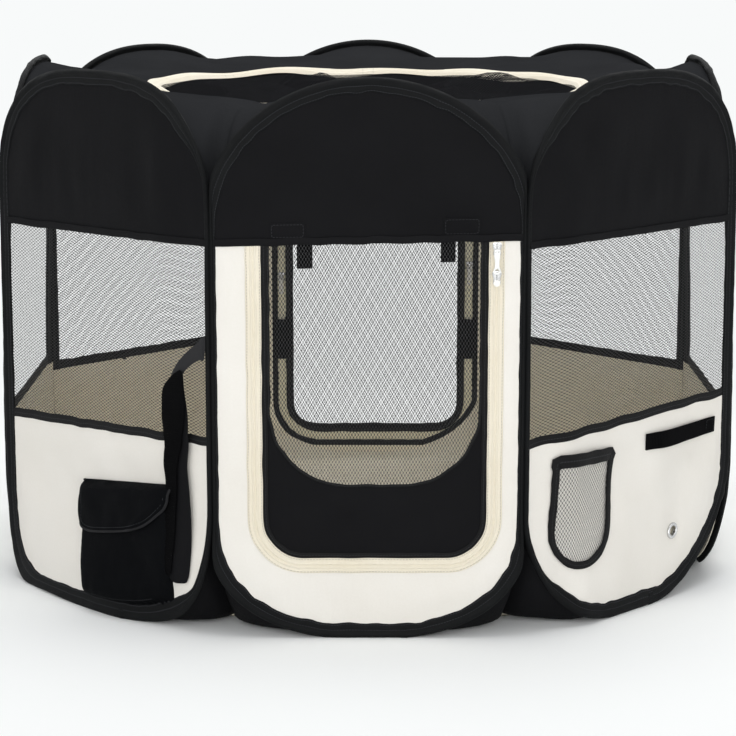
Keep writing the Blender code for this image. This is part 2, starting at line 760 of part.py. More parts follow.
def make_panel(number, parent):
    name = PANELS[number]
    home = panel_home(number)
    make_loop(name, home, parent)
    make_upper_cloth(name, home, parent)
    if name == "front":
        make_doorway(name, home, parent, 1)
        axis = door_pivot(name, home, parent)
        make_door(name, home, axis, 1, FRONT_WINDOW_SILL, FRONT_WINDOW_CORNER)
        make_front_sliders(home, parent)
        return
    if name == "back":
        make_doorway(name, home, parent, -1)
        axis = door_pivot(name, home, parent)
        sill = DOOR_SILL + ZIP_TAPE / 2 + GAP + LEAF_BINDING
        make_door(name, home, axis, -1, sill, BACK_WINDOW_CORNER)
        make_back_slider(home, parent)
        return
    make_window(name, home, parent)
    make_lower_cloth(name, home, parent, [grommet_cut()] if name == "front_right" else ())
    if name == "front_left":
        make_pocket(home, parent)
        make_closing_strap(home, parent)
    if name == "front_right":
        make_pouch(home, parent)
        make_grommet(home, parent)
        make_bottle_strap(home, parent)


for old in list(bpy.data.objects):
    bpy.data.objects.remove(old)

finishes = {
    "black cloth": material("black_oxford_cloth", srgb(32, 32, 34), 0.75),
    "cream cloth": material("cream_oxford_cloth", srgb(236, 233, 226), 0.7),
    "binding": material("black_binding_tape", srgb(30, 30, 32), 0.65),
    "mesh": material("black_mesh", srgb(24, 24, 26), 0.6),
    "zip": material("cream_zip", srgb(247, 240, 222), 0.6),
    "webbing": material("black_webbing", srgb(18, 18, 20), 0.7),
    "wire": material("spring_steel", srgb(150, 152, 156), 0.35, 1.0),
    "metal": material("nickel_plate", srgb(205, 206, 208), 0.25, 1.0),
    "mat": material("beige_mat_cloth", srgb(214, 203, 184), 0.8),
}
fold_pivots = make_pivots()
for panel_number in range(SIDES):
    make_panel(panel_number, fold_pivots[panel_number])
make_roof()
make_base()
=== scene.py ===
"""Looks of the foldable dog playpen, dressed over its CAD frame.

Every panel is drawn in its own frame: x along the panel to the right as seen from outside, y into the
pen, z up from the ground. The front panel is number 0, and the numbers run to the right round the ring.
Lengths are in metres. UV maps hold metres too, so that weaves, nets and stitches have their real size.
"""

import json
import math

import bpy
import numpy as np
from mathutils import Matrix, Vector
from mathutils.geometry import delaunay_2d_cdt
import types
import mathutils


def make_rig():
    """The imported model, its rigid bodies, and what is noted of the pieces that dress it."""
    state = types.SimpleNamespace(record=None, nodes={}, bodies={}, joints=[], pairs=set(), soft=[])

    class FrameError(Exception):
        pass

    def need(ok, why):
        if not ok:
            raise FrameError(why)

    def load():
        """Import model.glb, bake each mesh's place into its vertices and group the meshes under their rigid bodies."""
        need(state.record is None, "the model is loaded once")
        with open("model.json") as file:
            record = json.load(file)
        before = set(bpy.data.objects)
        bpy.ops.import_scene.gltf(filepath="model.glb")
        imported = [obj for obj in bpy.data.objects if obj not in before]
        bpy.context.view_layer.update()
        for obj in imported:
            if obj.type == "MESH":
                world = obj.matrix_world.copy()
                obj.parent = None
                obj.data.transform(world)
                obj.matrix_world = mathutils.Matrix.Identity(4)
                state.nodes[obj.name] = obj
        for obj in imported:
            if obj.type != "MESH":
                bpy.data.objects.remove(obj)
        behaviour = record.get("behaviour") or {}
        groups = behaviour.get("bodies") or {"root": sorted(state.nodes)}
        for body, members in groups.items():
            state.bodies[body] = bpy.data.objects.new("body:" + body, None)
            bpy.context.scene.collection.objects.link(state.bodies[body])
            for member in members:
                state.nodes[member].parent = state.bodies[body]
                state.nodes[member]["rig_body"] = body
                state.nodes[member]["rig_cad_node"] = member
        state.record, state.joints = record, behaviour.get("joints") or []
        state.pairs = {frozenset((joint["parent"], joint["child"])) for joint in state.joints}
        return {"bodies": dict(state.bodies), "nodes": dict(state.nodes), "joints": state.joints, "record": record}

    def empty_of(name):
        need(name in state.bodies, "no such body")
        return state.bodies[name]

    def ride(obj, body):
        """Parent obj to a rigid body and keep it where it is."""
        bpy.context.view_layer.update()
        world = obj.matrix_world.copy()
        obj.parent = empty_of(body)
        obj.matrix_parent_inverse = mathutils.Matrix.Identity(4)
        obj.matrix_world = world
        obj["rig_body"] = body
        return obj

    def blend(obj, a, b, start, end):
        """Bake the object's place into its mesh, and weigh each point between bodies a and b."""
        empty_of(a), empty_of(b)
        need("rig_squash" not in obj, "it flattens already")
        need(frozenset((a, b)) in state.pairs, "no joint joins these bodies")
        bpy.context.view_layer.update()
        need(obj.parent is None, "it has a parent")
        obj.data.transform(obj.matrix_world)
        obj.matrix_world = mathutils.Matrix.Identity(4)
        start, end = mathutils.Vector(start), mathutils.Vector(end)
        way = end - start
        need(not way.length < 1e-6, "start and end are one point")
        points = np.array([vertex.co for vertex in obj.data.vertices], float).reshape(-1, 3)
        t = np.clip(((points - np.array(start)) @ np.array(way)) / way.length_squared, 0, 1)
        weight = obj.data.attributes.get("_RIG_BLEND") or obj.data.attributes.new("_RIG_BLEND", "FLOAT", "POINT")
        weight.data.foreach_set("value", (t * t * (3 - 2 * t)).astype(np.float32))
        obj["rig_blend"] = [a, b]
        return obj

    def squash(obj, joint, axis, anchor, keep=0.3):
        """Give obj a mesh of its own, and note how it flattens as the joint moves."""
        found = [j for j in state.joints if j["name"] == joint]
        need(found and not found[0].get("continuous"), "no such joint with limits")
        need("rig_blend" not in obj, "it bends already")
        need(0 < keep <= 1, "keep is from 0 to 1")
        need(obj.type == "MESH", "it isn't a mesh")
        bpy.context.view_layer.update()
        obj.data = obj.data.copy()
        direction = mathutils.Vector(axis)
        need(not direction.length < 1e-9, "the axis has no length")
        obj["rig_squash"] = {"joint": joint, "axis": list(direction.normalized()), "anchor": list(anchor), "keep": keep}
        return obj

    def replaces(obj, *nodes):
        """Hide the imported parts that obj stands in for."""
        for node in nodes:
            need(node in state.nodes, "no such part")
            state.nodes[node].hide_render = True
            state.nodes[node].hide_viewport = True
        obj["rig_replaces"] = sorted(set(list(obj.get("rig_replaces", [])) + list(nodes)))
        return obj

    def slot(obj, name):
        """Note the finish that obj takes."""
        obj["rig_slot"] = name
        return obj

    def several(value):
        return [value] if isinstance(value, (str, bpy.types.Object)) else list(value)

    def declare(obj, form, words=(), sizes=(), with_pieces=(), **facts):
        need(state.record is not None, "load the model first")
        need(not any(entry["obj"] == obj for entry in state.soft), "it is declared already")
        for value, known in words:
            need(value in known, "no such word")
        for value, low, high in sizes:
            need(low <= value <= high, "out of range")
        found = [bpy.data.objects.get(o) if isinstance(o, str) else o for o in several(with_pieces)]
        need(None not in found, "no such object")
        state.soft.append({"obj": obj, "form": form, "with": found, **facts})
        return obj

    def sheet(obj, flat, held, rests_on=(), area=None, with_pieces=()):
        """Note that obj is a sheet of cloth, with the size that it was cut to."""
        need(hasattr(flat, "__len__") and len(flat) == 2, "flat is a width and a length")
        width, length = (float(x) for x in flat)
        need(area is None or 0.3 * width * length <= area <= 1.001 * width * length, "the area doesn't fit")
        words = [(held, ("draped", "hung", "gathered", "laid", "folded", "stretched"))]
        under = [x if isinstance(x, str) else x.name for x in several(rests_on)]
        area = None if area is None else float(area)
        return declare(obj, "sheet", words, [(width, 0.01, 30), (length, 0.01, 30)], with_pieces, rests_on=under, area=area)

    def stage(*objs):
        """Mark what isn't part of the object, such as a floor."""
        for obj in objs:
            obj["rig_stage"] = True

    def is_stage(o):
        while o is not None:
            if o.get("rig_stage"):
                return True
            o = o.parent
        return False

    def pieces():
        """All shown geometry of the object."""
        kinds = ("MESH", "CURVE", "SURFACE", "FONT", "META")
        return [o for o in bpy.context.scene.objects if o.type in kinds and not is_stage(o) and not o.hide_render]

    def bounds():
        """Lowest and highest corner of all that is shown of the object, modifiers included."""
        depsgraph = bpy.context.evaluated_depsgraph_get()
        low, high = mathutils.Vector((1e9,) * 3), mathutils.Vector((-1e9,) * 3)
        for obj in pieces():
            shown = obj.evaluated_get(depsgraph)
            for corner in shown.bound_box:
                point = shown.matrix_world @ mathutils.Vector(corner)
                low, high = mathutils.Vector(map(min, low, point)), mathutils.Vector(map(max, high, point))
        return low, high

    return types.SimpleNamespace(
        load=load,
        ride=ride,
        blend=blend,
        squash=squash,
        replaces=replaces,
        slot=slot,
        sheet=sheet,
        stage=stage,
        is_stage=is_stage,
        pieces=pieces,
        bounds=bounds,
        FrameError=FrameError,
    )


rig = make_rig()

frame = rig.load()
cad_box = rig.bounds()

# Sizes of the CAD model
PANELS = (
    "front", "front_right", "right", "back_right", "back", "back_left", "left", "front_left",
)
HEIGHT = 0.580
TOP_ARCH = 0.150
BOTTOM_ARCH = 0.130
BOTTOM_POWER = 2.4
BOTTOM_FLAT = 0.9873
LOOP_HALF = 0.1692163
APOTHEM = 0.4104163
TURN = math.pi / 4
BAND_WIDTH = 0.0155
BEAD = 0.0034
LIP_EDGE = LOOP_HALF - BAND_WIDTH
CLOTH_INSET = 0.010
UPPER_EDGE = 0.410
TAPE_HEIGHT = 0.200
TAPE_HALF = 0.005
FAR_TAPE = 1.4
ZIP_TAPE = 0.016
DOOR_SILL = 0.078
DOOR_CORNER = 0.050
ZIP_WIDE = 0.1163
ZIP_NARROW = 0.1300
BACK_DOOR_SILL = 0.0285
BACK_ZIP_NEAR = 0.1205
BACK_ZIP_FAR = 0.1405
ROOF_ZIP_RADIUS = APOTHEM - 0.160
ROOF_RIM = 0.548

# How the soft loops differ from the CAD: how far they lean into the pen at their tops, how square the
# corners of their feet are, how much the three front ones are skewed, and how high their window tapes lie
LEAN = {"left": 0.025, "right": 0.025, "back_left": 0.006, "back_right": 0.006}
LEAN_OTHERS = 0.004
SQUARE = {"front_left": 0.81, "left": 0.85, "right": 0.85}
FOOT_OUT = {"front_left": (0.023, 0.002, 0.146), "front_right": (0.015, 0.076, 0.144)}
FOOT_LIFT = {"front_right": 0.028}
# The power of the arch that a loop's top takes up, where the CAD has an ellipse
FULL_ARCH = {
    "front_left": 2.9, "front_right": 2.9, "left": 2.8, "right": 2.8, "back_left": 2.3, "back_right": 2.3,
}
SQUARE_HEIGHT = 0.15
SKEW = {"front": (0.0, 0.0, 0.019), "front_left": (0.105, 0.055, 0.015), "front_right": (0.0, 0.030, 0.0)}
SKEW_HEIGHTS = (0.0, 0.200, 0.410)
TAPE_LIFT = {"front_right": 0.010, "left": -0.014, "right": -0.014, "back_left": -0.026, "back_right": -0.026}
HEM_LIFT = {"front": 0.006}
GROMMET = (0.064, 0.071)
WALL_INSET = {"front": 0.006, "front_left": 0.006, "front_right": 0.006, "left": 0.0028, "right": 0.0028}
# The side of a loop, -1 left and 1 right, where its band narrows beside the front or back loop
PINCHED_SIDE = {"front_left": 1, "front_right": -1, "back_left": -1, "back_right": 1}
PINCH = 0.60
FULL_FOOT = 0.18
# How far the seams beside the front loop stand in from the CAD's at half height
SEAM_IN = 0.0095
# The end of the left and right loops that is near the front, and how far its foot stands into the pen
NEAR_END = {"left": (1, 0.014), "right": (-1, 0.034)}

LOOP_STEP = 0.006
CLOTH_THICK = 0.0008
# The angle over which an edge is shown sharp
SHARP = math.radians(40)
# How far the seam tapes beside a zip lie from its middle
ZIP_SEAM = 0.0095
# The panels with a door
DOORS = (0, 4)


# ---- Nodes and materials


def srgb(red, green, blue, share=1.0):
    """A colour as seen on a screen, 0 to 255, in linear values."""
    linear = []
    for value in (red, green, blue):
        part = value / 255
        linear.append(share * (part / 12.92 if part <= 0.04045 else ((part + 0.055) / 1.055) ** 2.4))
    return (*linear, 1.0)


class Tree:
    """Short calls for building the nodes of a material or of the world."""

    def __init__(self, owner):
        owner.use_nodes = True
        self.owner = owner
        self.nodes = owner.node_tree.nodes
        self.links = owner.node_tree.links
        self.shader = self.nodes.get("Principled BSDF")

    def put(self, socket, value):
        if isinstance(value, bpy.types.NodeSocket):
            self.links.new(value, socket)
        elif value is not None:
            socket.default_value = value

    def shade(self, inputs):
        for name, value in inputs.items():
            self.put(self.shader.inputs[name], value)
        return self.owner

    def add(self, kind, inputs=(), output=0, **settings):
        made = self.nodes.new(kind)
        for name, value in settings.items():
            setattr(made, name, value)
        for name, value in dict(inputs).items():
            self.put(made.inputs[name], value)
        return made.outputs[output]

    def math(self, operation, *values):
        return self.add("ShaderNodeMath", enumerate(values), operation=operation)

    def uv(self):
        """The place in the UV map, and its two coordinates, in metres."""
        place = self.add("ShaderNodeUVMap", uv_map="metres")
        split = self.nodes.new("ShaderNodeSeparateXYZ")
        self.put(split.inputs[0], place)
        return place, split.outputs[0], split.outputs[1]

    def noise(self, vector, scale, detail=3.0, roughness=0.55):
        inputs = {"Vector": vector, "Scale": scale, "Detail": detail, "Roughness": roughness}
        return self.add("ShaderNodeTexNoise", inputs, output="Fac")

    def ramp(self, value, low, high, from_low=0.0, from_high=1.0):
        inputs = {"Value": value, 1: from_low, 2: from_high, 3: low, 4: high}
        return self.add("ShaderNodeMapRange", inputs, clamp=True)

    def mix(self, share, first, second):
        return self.add("ShaderNodeMix", {0: share, 6: first, 7: second}, output=2, data_type="RGBA")

    def bump(self, height, distance, strength=1.0, normal=None):
        inputs = {"Height": height, "Distance": distance, "Strength": strength, "Normal": normal}
        return self.add("ShaderNodeBump", inputs)

    def beat(self, along, pitch):
        """A wave from -1 to 1 along a coordinate."""
        return self.math("SINE", self.math("MULTIPLY", along, 2 * math.pi / pitch))

    def stitches(self, across, along, lines, pitch=0.0032, half=0.00035):
        """1 on the threads of stitch lines at these distances across, 0 elsewhere."""
        found = None
        for line in lines:
            away = self.math("ABSOLUTE", self.math("SUBTRACT", across, line))
            near = self.ramp(away, 1.0, 0.0, half * 0.7, half * 1.3)
            found = near if found is None else self.math("MAXIMUM", found, near)
        return self.math("MULTIPLY", found, self.ramp(self.beat(along, pitch), 0.0, 1.0, -0.75, -0.45))


def fabric(
    name, colour, dark, roughness, pitch=0.0008, weave_depth=0.00012, crease=0.0006, gloss=0.12,
    stitch_lines=(), thread=None, ribs=0.0,
):
    """A plain weave with soft creases and uneven colour and, if asked, stitch lines across its UV."""
    tree = Tree(bpy.data.materials.new(name))
    place, across, along = tree.uv()
    cloud = tree.noise(place, 9.0, 4.0)
    fleck = tree.noise(place, 420.0, 2.0)
    threads = tree.math("MULTIPLY", tree.beat(across, pitch), tree.beat(along, pitch))
    woven = tree.math("MULTIPLY_ADD", threads, 0.5, 0.5)
    tone = tree.math("MULTIPLY_ADD", cloud, 0.7, tree.math("MULTIPLY", fleck, 0.3))
    base = tree.mix(tree.ramp(tone, 0.0, 1.0, 0.3, 0.7), dark, colour)
    shaded = tree.mix(tree.math("MULTIPLY", tree.math("SUBTRACT", 1.0, woven), 0.22), base, dark)
    drawn = tree.add("ShaderNodeMapping", {"Vector": place, "Scale": (26.0, 9.0, 1.0)})
    normal = tree.bump(tree.noise(drawn, 1.0, 5.0, 0.5), crease * 4, 0.5)
    if ribs:
        normal = tree.bump(tree.beat(along, ribs), 0.0002, 0.7, normal)
    normal = tree.bump(woven, weave_depth, 0.6, normal)
    if stitch_lines:
        found = tree.stitches(across, along, stitch_lines)
        shaded = tree.mix(found, shaded, thread)
        normal = tree.bump(found, 0.0003, 1.0, normal)
    rough = tree.ramp(fleck, roughness - 0.06, roughness + 0.06, 0.3, 0.7)
    return tree.shade({
        "Base Color": shaded, "Roughness": rough, "Normal": normal, "Specular IOR Level": gloss,
    })


def net(name, colour, wide=0.0033, tall=0.0057, hole=0.16, gloss=0.5):
    """Knitted mesh: staggered round-cornered holes between thin threads."""
    tree = Tree(bpy.data.materials.new(name))
    place, across, along = tree.uv()
    first = tree.math("MULTIPLY", across, math.pi / wide)
    second = tree.math("MULTIPLY", along, math.pi / tall)
    one = tree.math("SINE", tree.math("ADD", first, second))
    other = tree.math("SINE", tree.math("SUBTRACT", first, second))
    open_share = tree.math("ABSOLUTE", tree.math("MULTIPLY", one, other))
    return tree.shade({
        "Base Color": tree.mix(tree.noise(place, 500.0, 2.0), colour, FLECK),
        "Alpha": tree.ramp(open_share, 1.0, 0.0, hole - 0.02, hole + 0.02),
        "Normal": tree.bump(open_share, 0.0004, 0.8), "Roughness": 0.55, "Specular IOR Level": gloss,
    })


def metal(name, colour, roughness, metallic=1.0):
    tree = Tree(bpy.data.materials.new(name))
    cloud = tree.noise(tree.add("ShaderNodeTexCoord", output="Object"), 900.0, 3.0)
    worn = tuple(0.72 * part for part in colour[:3]) + (1.0,)
    return tree.shade({
        "Base Color": tree.mix(cloud, colour, worn), "Metallic": metallic,
        "Roughness": tree.ramp(cloud, roughness - 0.05, roughness + 0.12),
        "Normal": tree.bump(cloud, 0.00004, 0.5),
    })


FLECK = srgb(34, 34, 36)
zip_look = {"pitch": 0.0007, "gloss": 0.25, "stitch_lines": (-0.0066, 0.0066), "ribs": 0.0012}
edge_look = {"pitch": 0.0006, "crease": 0.0003}
finishes = {key: (slot, fabric(name, srgb(*colour), srgb(*dark), roughness, **look)) for
            key, slot, name, colour, dark, roughness, look in (
    ("black cloth", "black_cloth", "black_oxford", (19, 19, 21), (13, 13, 15), 0.65, {"gloss": 0.07}),
    ("pocket cloth", "black_cloth", "black_pocket_oxford", (12, 13, 15), (8, 9, 11), 0.7,
     {"crease": 0.001, "gloss": 0.03}),
    # The roof's cloth is black like the walls; this lighter grey copy, with its gloss off, is painted sheen and top
    # light.
    ("roof cloth", "black_cloth", "black_roof_oxford", (46, 47, 49), (38, 39, 41), 0.75, {"gloss": 0.0}),
    ("cream cloth", "cream_cloth", "cream_oxford", (232, 229, 223), (225, 221, 213), 0.62,
     {"weave_depth": 0.00008, "gloss": 0.25}),
    ("lining", "cream_cloth", "beige_coated_back", (249, 242, 224), (242, 234, 214), 0.55, {"gloss": 0.25}),
    ("band", "black_binding", "black_binding_tape", (23, 24, 25), (15, 16, 17), 0.62,
     {**edge_look, "gloss": 0.08, "stitch_lines": (0.0082, 0.0139), "thread": srgb(50, 51, 54)}),
    ("trim", "black_binding", "black_edge_binding", (20, 20, 21), (13, 13, 14), 0.6,
     {**edge_look, "stitch_lines": (0.0,), "thread": srgb(44, 45, 47)}),
    ("zip", "cream_zip", "cream_zip_tape", (242, 235, 219), (234, 225, 204), 0.5,
     {**zip_look, "thread": srgb(208, 202, 188)}),
    # The back door's zip lies in the pen's shade; this brighter copy of the cream zip tape is painted light.
    ("inner zip", "cream_zip", "pale_zip_tape", (254, 249, 228), (250, 243, 214), 0.5,
     {**zip_look, "thread": srgb(228, 222, 202)}),
    ("webbing", "black_webbing", "black_webbing", (11, 11, 12), (7, 7, 8), 0.8,
     {"pitch": 0.0016, "weave_depth": 0.0003, "gloss": 0.03, "ribs": 0.0022}),
    ("strap light", "black_webbing", "black_strap_face", (38, 38, 40), (29, 29, 31), 0.6,
     {"pitch": 0.0009, "gloss": 0.18}),
    ("hook", "black_webbing", "black_hook_strip", (17, 17, 18), (10, 10, 11), 0.85,
     {"pitch": 0.0011, "weave_depth": 0.0006, "crease": 0.0001}),
    ("piping", "black_binding", "dark_grey_piping", (30, 30, 32), (24, 24, 26), 0.6, {"pitch": 0.0006}),
    ("hem", "black_cloth", "black_hem", (19, 19, 21), (13, 13, 15), 0.62, {"gloss": 0.08}),
    ("thread", "black_webbing", "grey_sewing_thread", (52, 53, 56), (40, 41, 43), 0.6, {"pitch": 0.0004}),
    ("mat", "mat_cloth", "beige_mat_cloth", (244, 236, 217), (236, 227, 206), 0.7, {"crease": 0.001}),
    ("pale enamel", "nickel", "cream_enamel", (247, 245, 240), (240, 237, 230), 0.3, {"gloss": 0.5}),
)}
finishes.update({
    "net": ("black_mesh", net("black_knitted_mesh", srgb(20, 20, 22))),
    "window net": ("black_mesh", net("black_window_mesh", srgb(20, 20, 22), wide=0.0062, tall=0.0034)),
    # The roof's net is black like the window nets; this lighter copy, with its gloss off, is painted sheen seen at a
    # low angle.
    "roof net": ("black_mesh", net("black_roof_mesh", srgb(30, 31, 33), hole=0.50, gloss=0.0)),
    "metal": ("nickel", metal("nickel_plate", srgb(214, 214, 214), 0.2)),
    "pale metal": ("nickel", metal("white_nickel", srgb(246, 246, 243), 0.35, 0.35)),
})


# ---- Shapes


def waves(seed, shortest, longest, stretch=(1.0, 1.0), count=9):
    """A smooth uneven height over two coordinates, mostly within -1 to 1."""
    draw = np.random.default_rng(seed)
    angles = draw.uniform(0, 2 * math.pi, count)
    lengths = shortest * (longest / shortest) ** draw.uniform(0, 1, count)
    starts = draw.uniform(0, 2 * math.pi, count)

    def height(x, z):
        x = np.asarray(x, float)[..., None] * stretch[0]
        z = np.asarray(z, float)[..., None] * stretch[1]
        turn = 2 * math.pi * (x * np.cos(angles) + z * np.sin(angles)) / lengths + starts
        return (np.sin(turn) * np.sqrt(lengths / longest)).sum(-1) / math.sqrt(count)

    return height


def smooth(value, low, high):
    share = np.clip((np.asarray(value, float) - low) / (high - low), 0, 1)
    return share * share * (3 - 2 * share)


def panel_matrix(number):
    return Matrix.Rotation(TURN * number, 4, "Z") @ Matrix.Translation((0, -APOTHEM, 0))


def foot_height(x):
    """How high the outer edge of a loop's foot stands at x."""
    across = np.clip(np.abs(x) / LOOP_HALF, 0, 1)
    full = (1 - across ** BOTTOM_POWER) ** (1 / BOTTOM_POWER)
    return np.clip(BOTTOM_ARCH * (1 - full / BOTTOM_FLAT), 0, None)


def lean(number, points):
    """Points of a panel moved as its soft loop stands: leaning in, square at its foot and skewed."""
    name = PANELS[number]
    moved = np.array(points, float)
    x, z = moved[:, 0].copy(), moved[:, 2].copy()
    moved[:, 1] += LEAN.get(name, LEAN_OTHERS) * np.clip((z - 0.15) / (HEIGHT - 0.15), 0, 1) ** 2
    slope = np.interp(z, SKEW_HEIGHTS, SKEW.get(name, (0.0, 0.0, 0.0)))
    moved[:, 2] += x * slope * smooth(z, 0.0, 0.06) * (1 - smooth(z, UPPER_EDGE, HEIGHT))
    across = np.clip(np.abs(x) / LOOP_HALF, 0, 1)
    moved[:, 2] -= SQUARE.get(name, 0.0) * foot_height(x) * (1 - smooth(z, 0.02, SQUARE_HEIGHT))
    aside = x * PINCHED_SIDE.get(name, 0)
    out, out_start, out_end = FOOT_OUT.get(name, (0.0, 0.0, 1.0))
    share = (1 - smooth(aside, out_start, out_end)) * (1 - 0.86 * np.where(aside < 0, across ** 3, 0))
    step = out * share * (1 - smooth(z, 0.0, 0.16))
    moved[:, 2] += FOOT_LIFT.get(name, 0.0) * smooth(-aside, 0.036, 0.19) * (1 - smooth(z, 0.0, 0.22))
    moved[:, 0] += step * PINCHED_SIDE.get(name, 0)
    moved[:, 1] -= step
    near, drawn_in = NEAR_END.get(name, (0, 0.0))
    drawn = smooth(near * x, 0.04, 0.15) * (1 - smooth(z, 0.0, 0.13)) * abs(near)
    moved[:, 0] += near * 0.024 * drawn
    moved[:, 1] += drawn_in * drawn
    power = FULL_ARCH.get(name, 2.0)
    fuller = (1 - across ** power) ** (1 / power) - np.sqrt(1 - across ** 2)
    moved[:, 2] += TOP_ARCH * fuller * smooth(z, 0.415, 0.450)
    waist = smooth(z, 0.05, 0.13) * (1 - smooth(z, 0.43, 0.52))
    if name == "front":
        moved[:, 0] -= SEAM_IN * np.sign(x) * smooth(np.abs(x), LIP_EDGE, LOOP_HALF) * waist
    elif name in ("front_left", "front_right"):
        side = PINCHED_SIDE[name]
        end = SEAM_IN * math.sqrt(0.5) * smooth(side * x, 0.10, LIP_EDGE) * waist
        moved[:, 0] += side * end
        moved[:, 1] += end
    return moved


def in_world(number, points):
    matrix = np.array(panel_matrix(number))
    return lean(number, points) @ matrix[:3, :3].T + matrix[:3, 3]


def grid(rows, columns, wrap_rows=False, wrap_columns=False):
    """Quads of a grid of points, and each corner's place in a UV grid one longer each way."""
    row, column = np.meshgrid(
        np.arange(rows if wrap_rows else rows - 1),
        np.arange(columns if wrap_columns else columns - 1),
        indexing="ij",
    )
    corners = [(row, column), (row + 1, column), (row + 1, column + 1), (row, column + 1)]
    faces = np.stack([(a % rows) * columns + b % columns for a, b in corners], -1)
    spots = np.stack([a * (columns + 1) + b for a, b in corners], -1)
    return faces.reshape(-1, 4), spots.reshape(-1, 4)


riders = {}


def own(number, text):
    """A name with its panel's name before it, where it starts with an underscore."""
    return PANELS[number] + text if text.startswith("_") else text


def outward(points, faces):
    """Whether the faces of a closed mesh turn so that its volume is positive."""
    points = np.asarray(points)
    volume = 0.0
    for face in faces:
        a = points[face[0]]
        for i in range(1, len(face) - 1):
            volume += np.dot(a, np.cross(points[face[i]], points[face[i + 1]]))
    return volume >= 0


def make(
    name, number, points, faces, corner_uv, finish, body="_panel", stands_for=(), slots=None, closed=False,
):
    """A mesh object in its material, riding on a body, or blended over two where body is a tuple."""
    faces = [tuple(int(corner) for corner in face) for face in faces]
    corner_uv = np.asarray(corner_uv)
    if closed and not outward(points, faces):
        ends = np.cumsum([len(face) for face in faces])
        corner_uv = np.vstack([corner_uv[end - len(face):end][::-1] for end, face in zip(ends, faces)])
        faces = [face[::-1] for face in faces]
    name = own(number, name)
    mesh = bpy.data.meshes.new(name)
    mesh.from_pydata([tuple(point) for point in points], [], faces)
    layer = mesh.uv_layers.new(name="metres")
    layer.data.foreach_set("uv", corner_uv.astype(np.float32).reshape(-1))
    used = [finishes[one] for one in ([finish] if isinstance(finish, str) else finish)]
    for _, material in used:
        mesh.materials.append(material)
    if slots is not None:
        mesh.polygons.foreach_set("material_index", np.asarray(slots, np.int32))
    mesh.shade_smooth()
    mesh.set_sharp_from_angle(angle=SHARP)
    mesh.validate()
    made = bpy.data.objects.new(name, mesh)
    bpy.context.scene.collection.objects.link(made)
    if isinstance(body, str):
        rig.ride(made, own(number, body))
        riders.setdefault(own(number, body), []).append(made)
    else:
        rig.blend(made, *body)
    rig.slot(made, used[0][0])
    if stands_for:
        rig.replaces(made, *(own(number, node) for node in stands_for))
    return made


def spaced(line, step):
    """A closed polyline with its corners kept and points no further apart than step."""
    line = [np.asarray(p, float) for p in line]
    made = []
    for start, end in zip(line, line[1:] + line[:1]):
        count = max(1, math.ceil(np.linalg.norm(end - start) / step - 1e-6))
        made += [start + (end - start) * i / count for i in range(count)]
    return np.array(made)


def run_along(line):
    """How far each point of a line is from its start, along it."""
    return np.concatenate([[0], np.cumsum(np.linalg.norm(np.diff(line, axis=0), axis=1))])


def even(line, step, closed=True):
    """A polyline resampled at an even step along its length."""
    line = np.asarray(line, float)
    if closed:
        line = np.vstack([line, line[:1]])
    run = run_along(line)
    count = max(2, round(run[-1] / step))
    where = np.linspace(0, run[-1], count + 1)[:count + (not closed)]
    return np.stack([np.interp(where, run, line[:, i]) for i in range(line.shape[1])], -1)


def with_normals(line, closed=True):
    """Each point of a line with the direction to the left of its way."""
    line = np.asarray(line, float)
    if closed:
        way = np.roll(line, -1, 0) - np.roll(line, 1, 0)
    else:
        way = np.gradient(line, axis=0)
    way /= np.linalg.norm(way, axis=1)[:, None]
    return np.hstack([line, np.stack([-way[:, 1], way[:, 0]], -1)])


def strip_line(start, end, step):
    """A straight line from one point to another, with its normals."""
    return with_normals(even([start, end], step, False), False)


def loop_line():
    """The outer edge of a wire loop: up the right side, over, down the left side and along the foot."""
    turns = np.linspace(0, math.pi, 121)
    top = np.stack([LOOP_HALF * np.cos(turns), HEIGHT - TOP_ARCH * (1 - np.sin(turns))], -1)
    share = 2 / BOTTOM_POWER
    turns = np.linspace(0, math.pi, 401)
    run = np.cos(turns)
    across = np.sign(run) * np.abs(run) ** share
    height = BOTTOM_ARCH * (1 - np.abs(np.sin(turns)) ** share / BOTTOM_FLAT)
    foot = np.stack([-LOOP_HALF * across, np.maximum(height, 0)], -1)
    return with_normals(even(np.vstack([top, foot]), LOOP_STEP))


LOOP = loop_line()


def narrowed(number, x, z):
    """The share of its width that a loop's band has at a point."""
    aside = np.asarray(x) * PINCHED_SIDE.get(PANELS[number], 0)
    low, high, full = (0.02, 0.07, FULL_FOOT) if PANELS[number] in FOOT_OUT else (0.09, 0.16, 0.0)
    fuller = full * (1 - smooth(aside, 0.0, 0.10)) * (1 - smooth(z, 0.02, 0.10))
    return 1 + fuller - PINCH * (aside > 0.1) * smooth(z, low, high) * (1 - smooth(z, 0.44, 0.52))


def inset(number, distance):
    share = narrowed(number, LOOP[:, 0], LOOP[:, 1])[:, None]
    return LOOP[:, :2] + LOOP[:, 2:] * distance * share


def reach(number):
    """How far a cloth between the straight sides goes left and right, under the band's lips."""
    pinched = PINCHED_SIDE.get(PANELS[number], 0)
    narrow = LOOP_HALF - BAND_WIDTH * (1 - PINCH) + 0.0025
    return [side * (narrow if side == pinched else LIP_EDGE + 0.004) for side in (-1, 1)]


def hem_height(number):
    return UPPER_EDGE + HEM_LIFT.get(PANELS[number], 0.0)


def tape_height(number):
    return TAPE_HEIGHT + TAPE_LIFT.get(PANELS[number], 0.0)


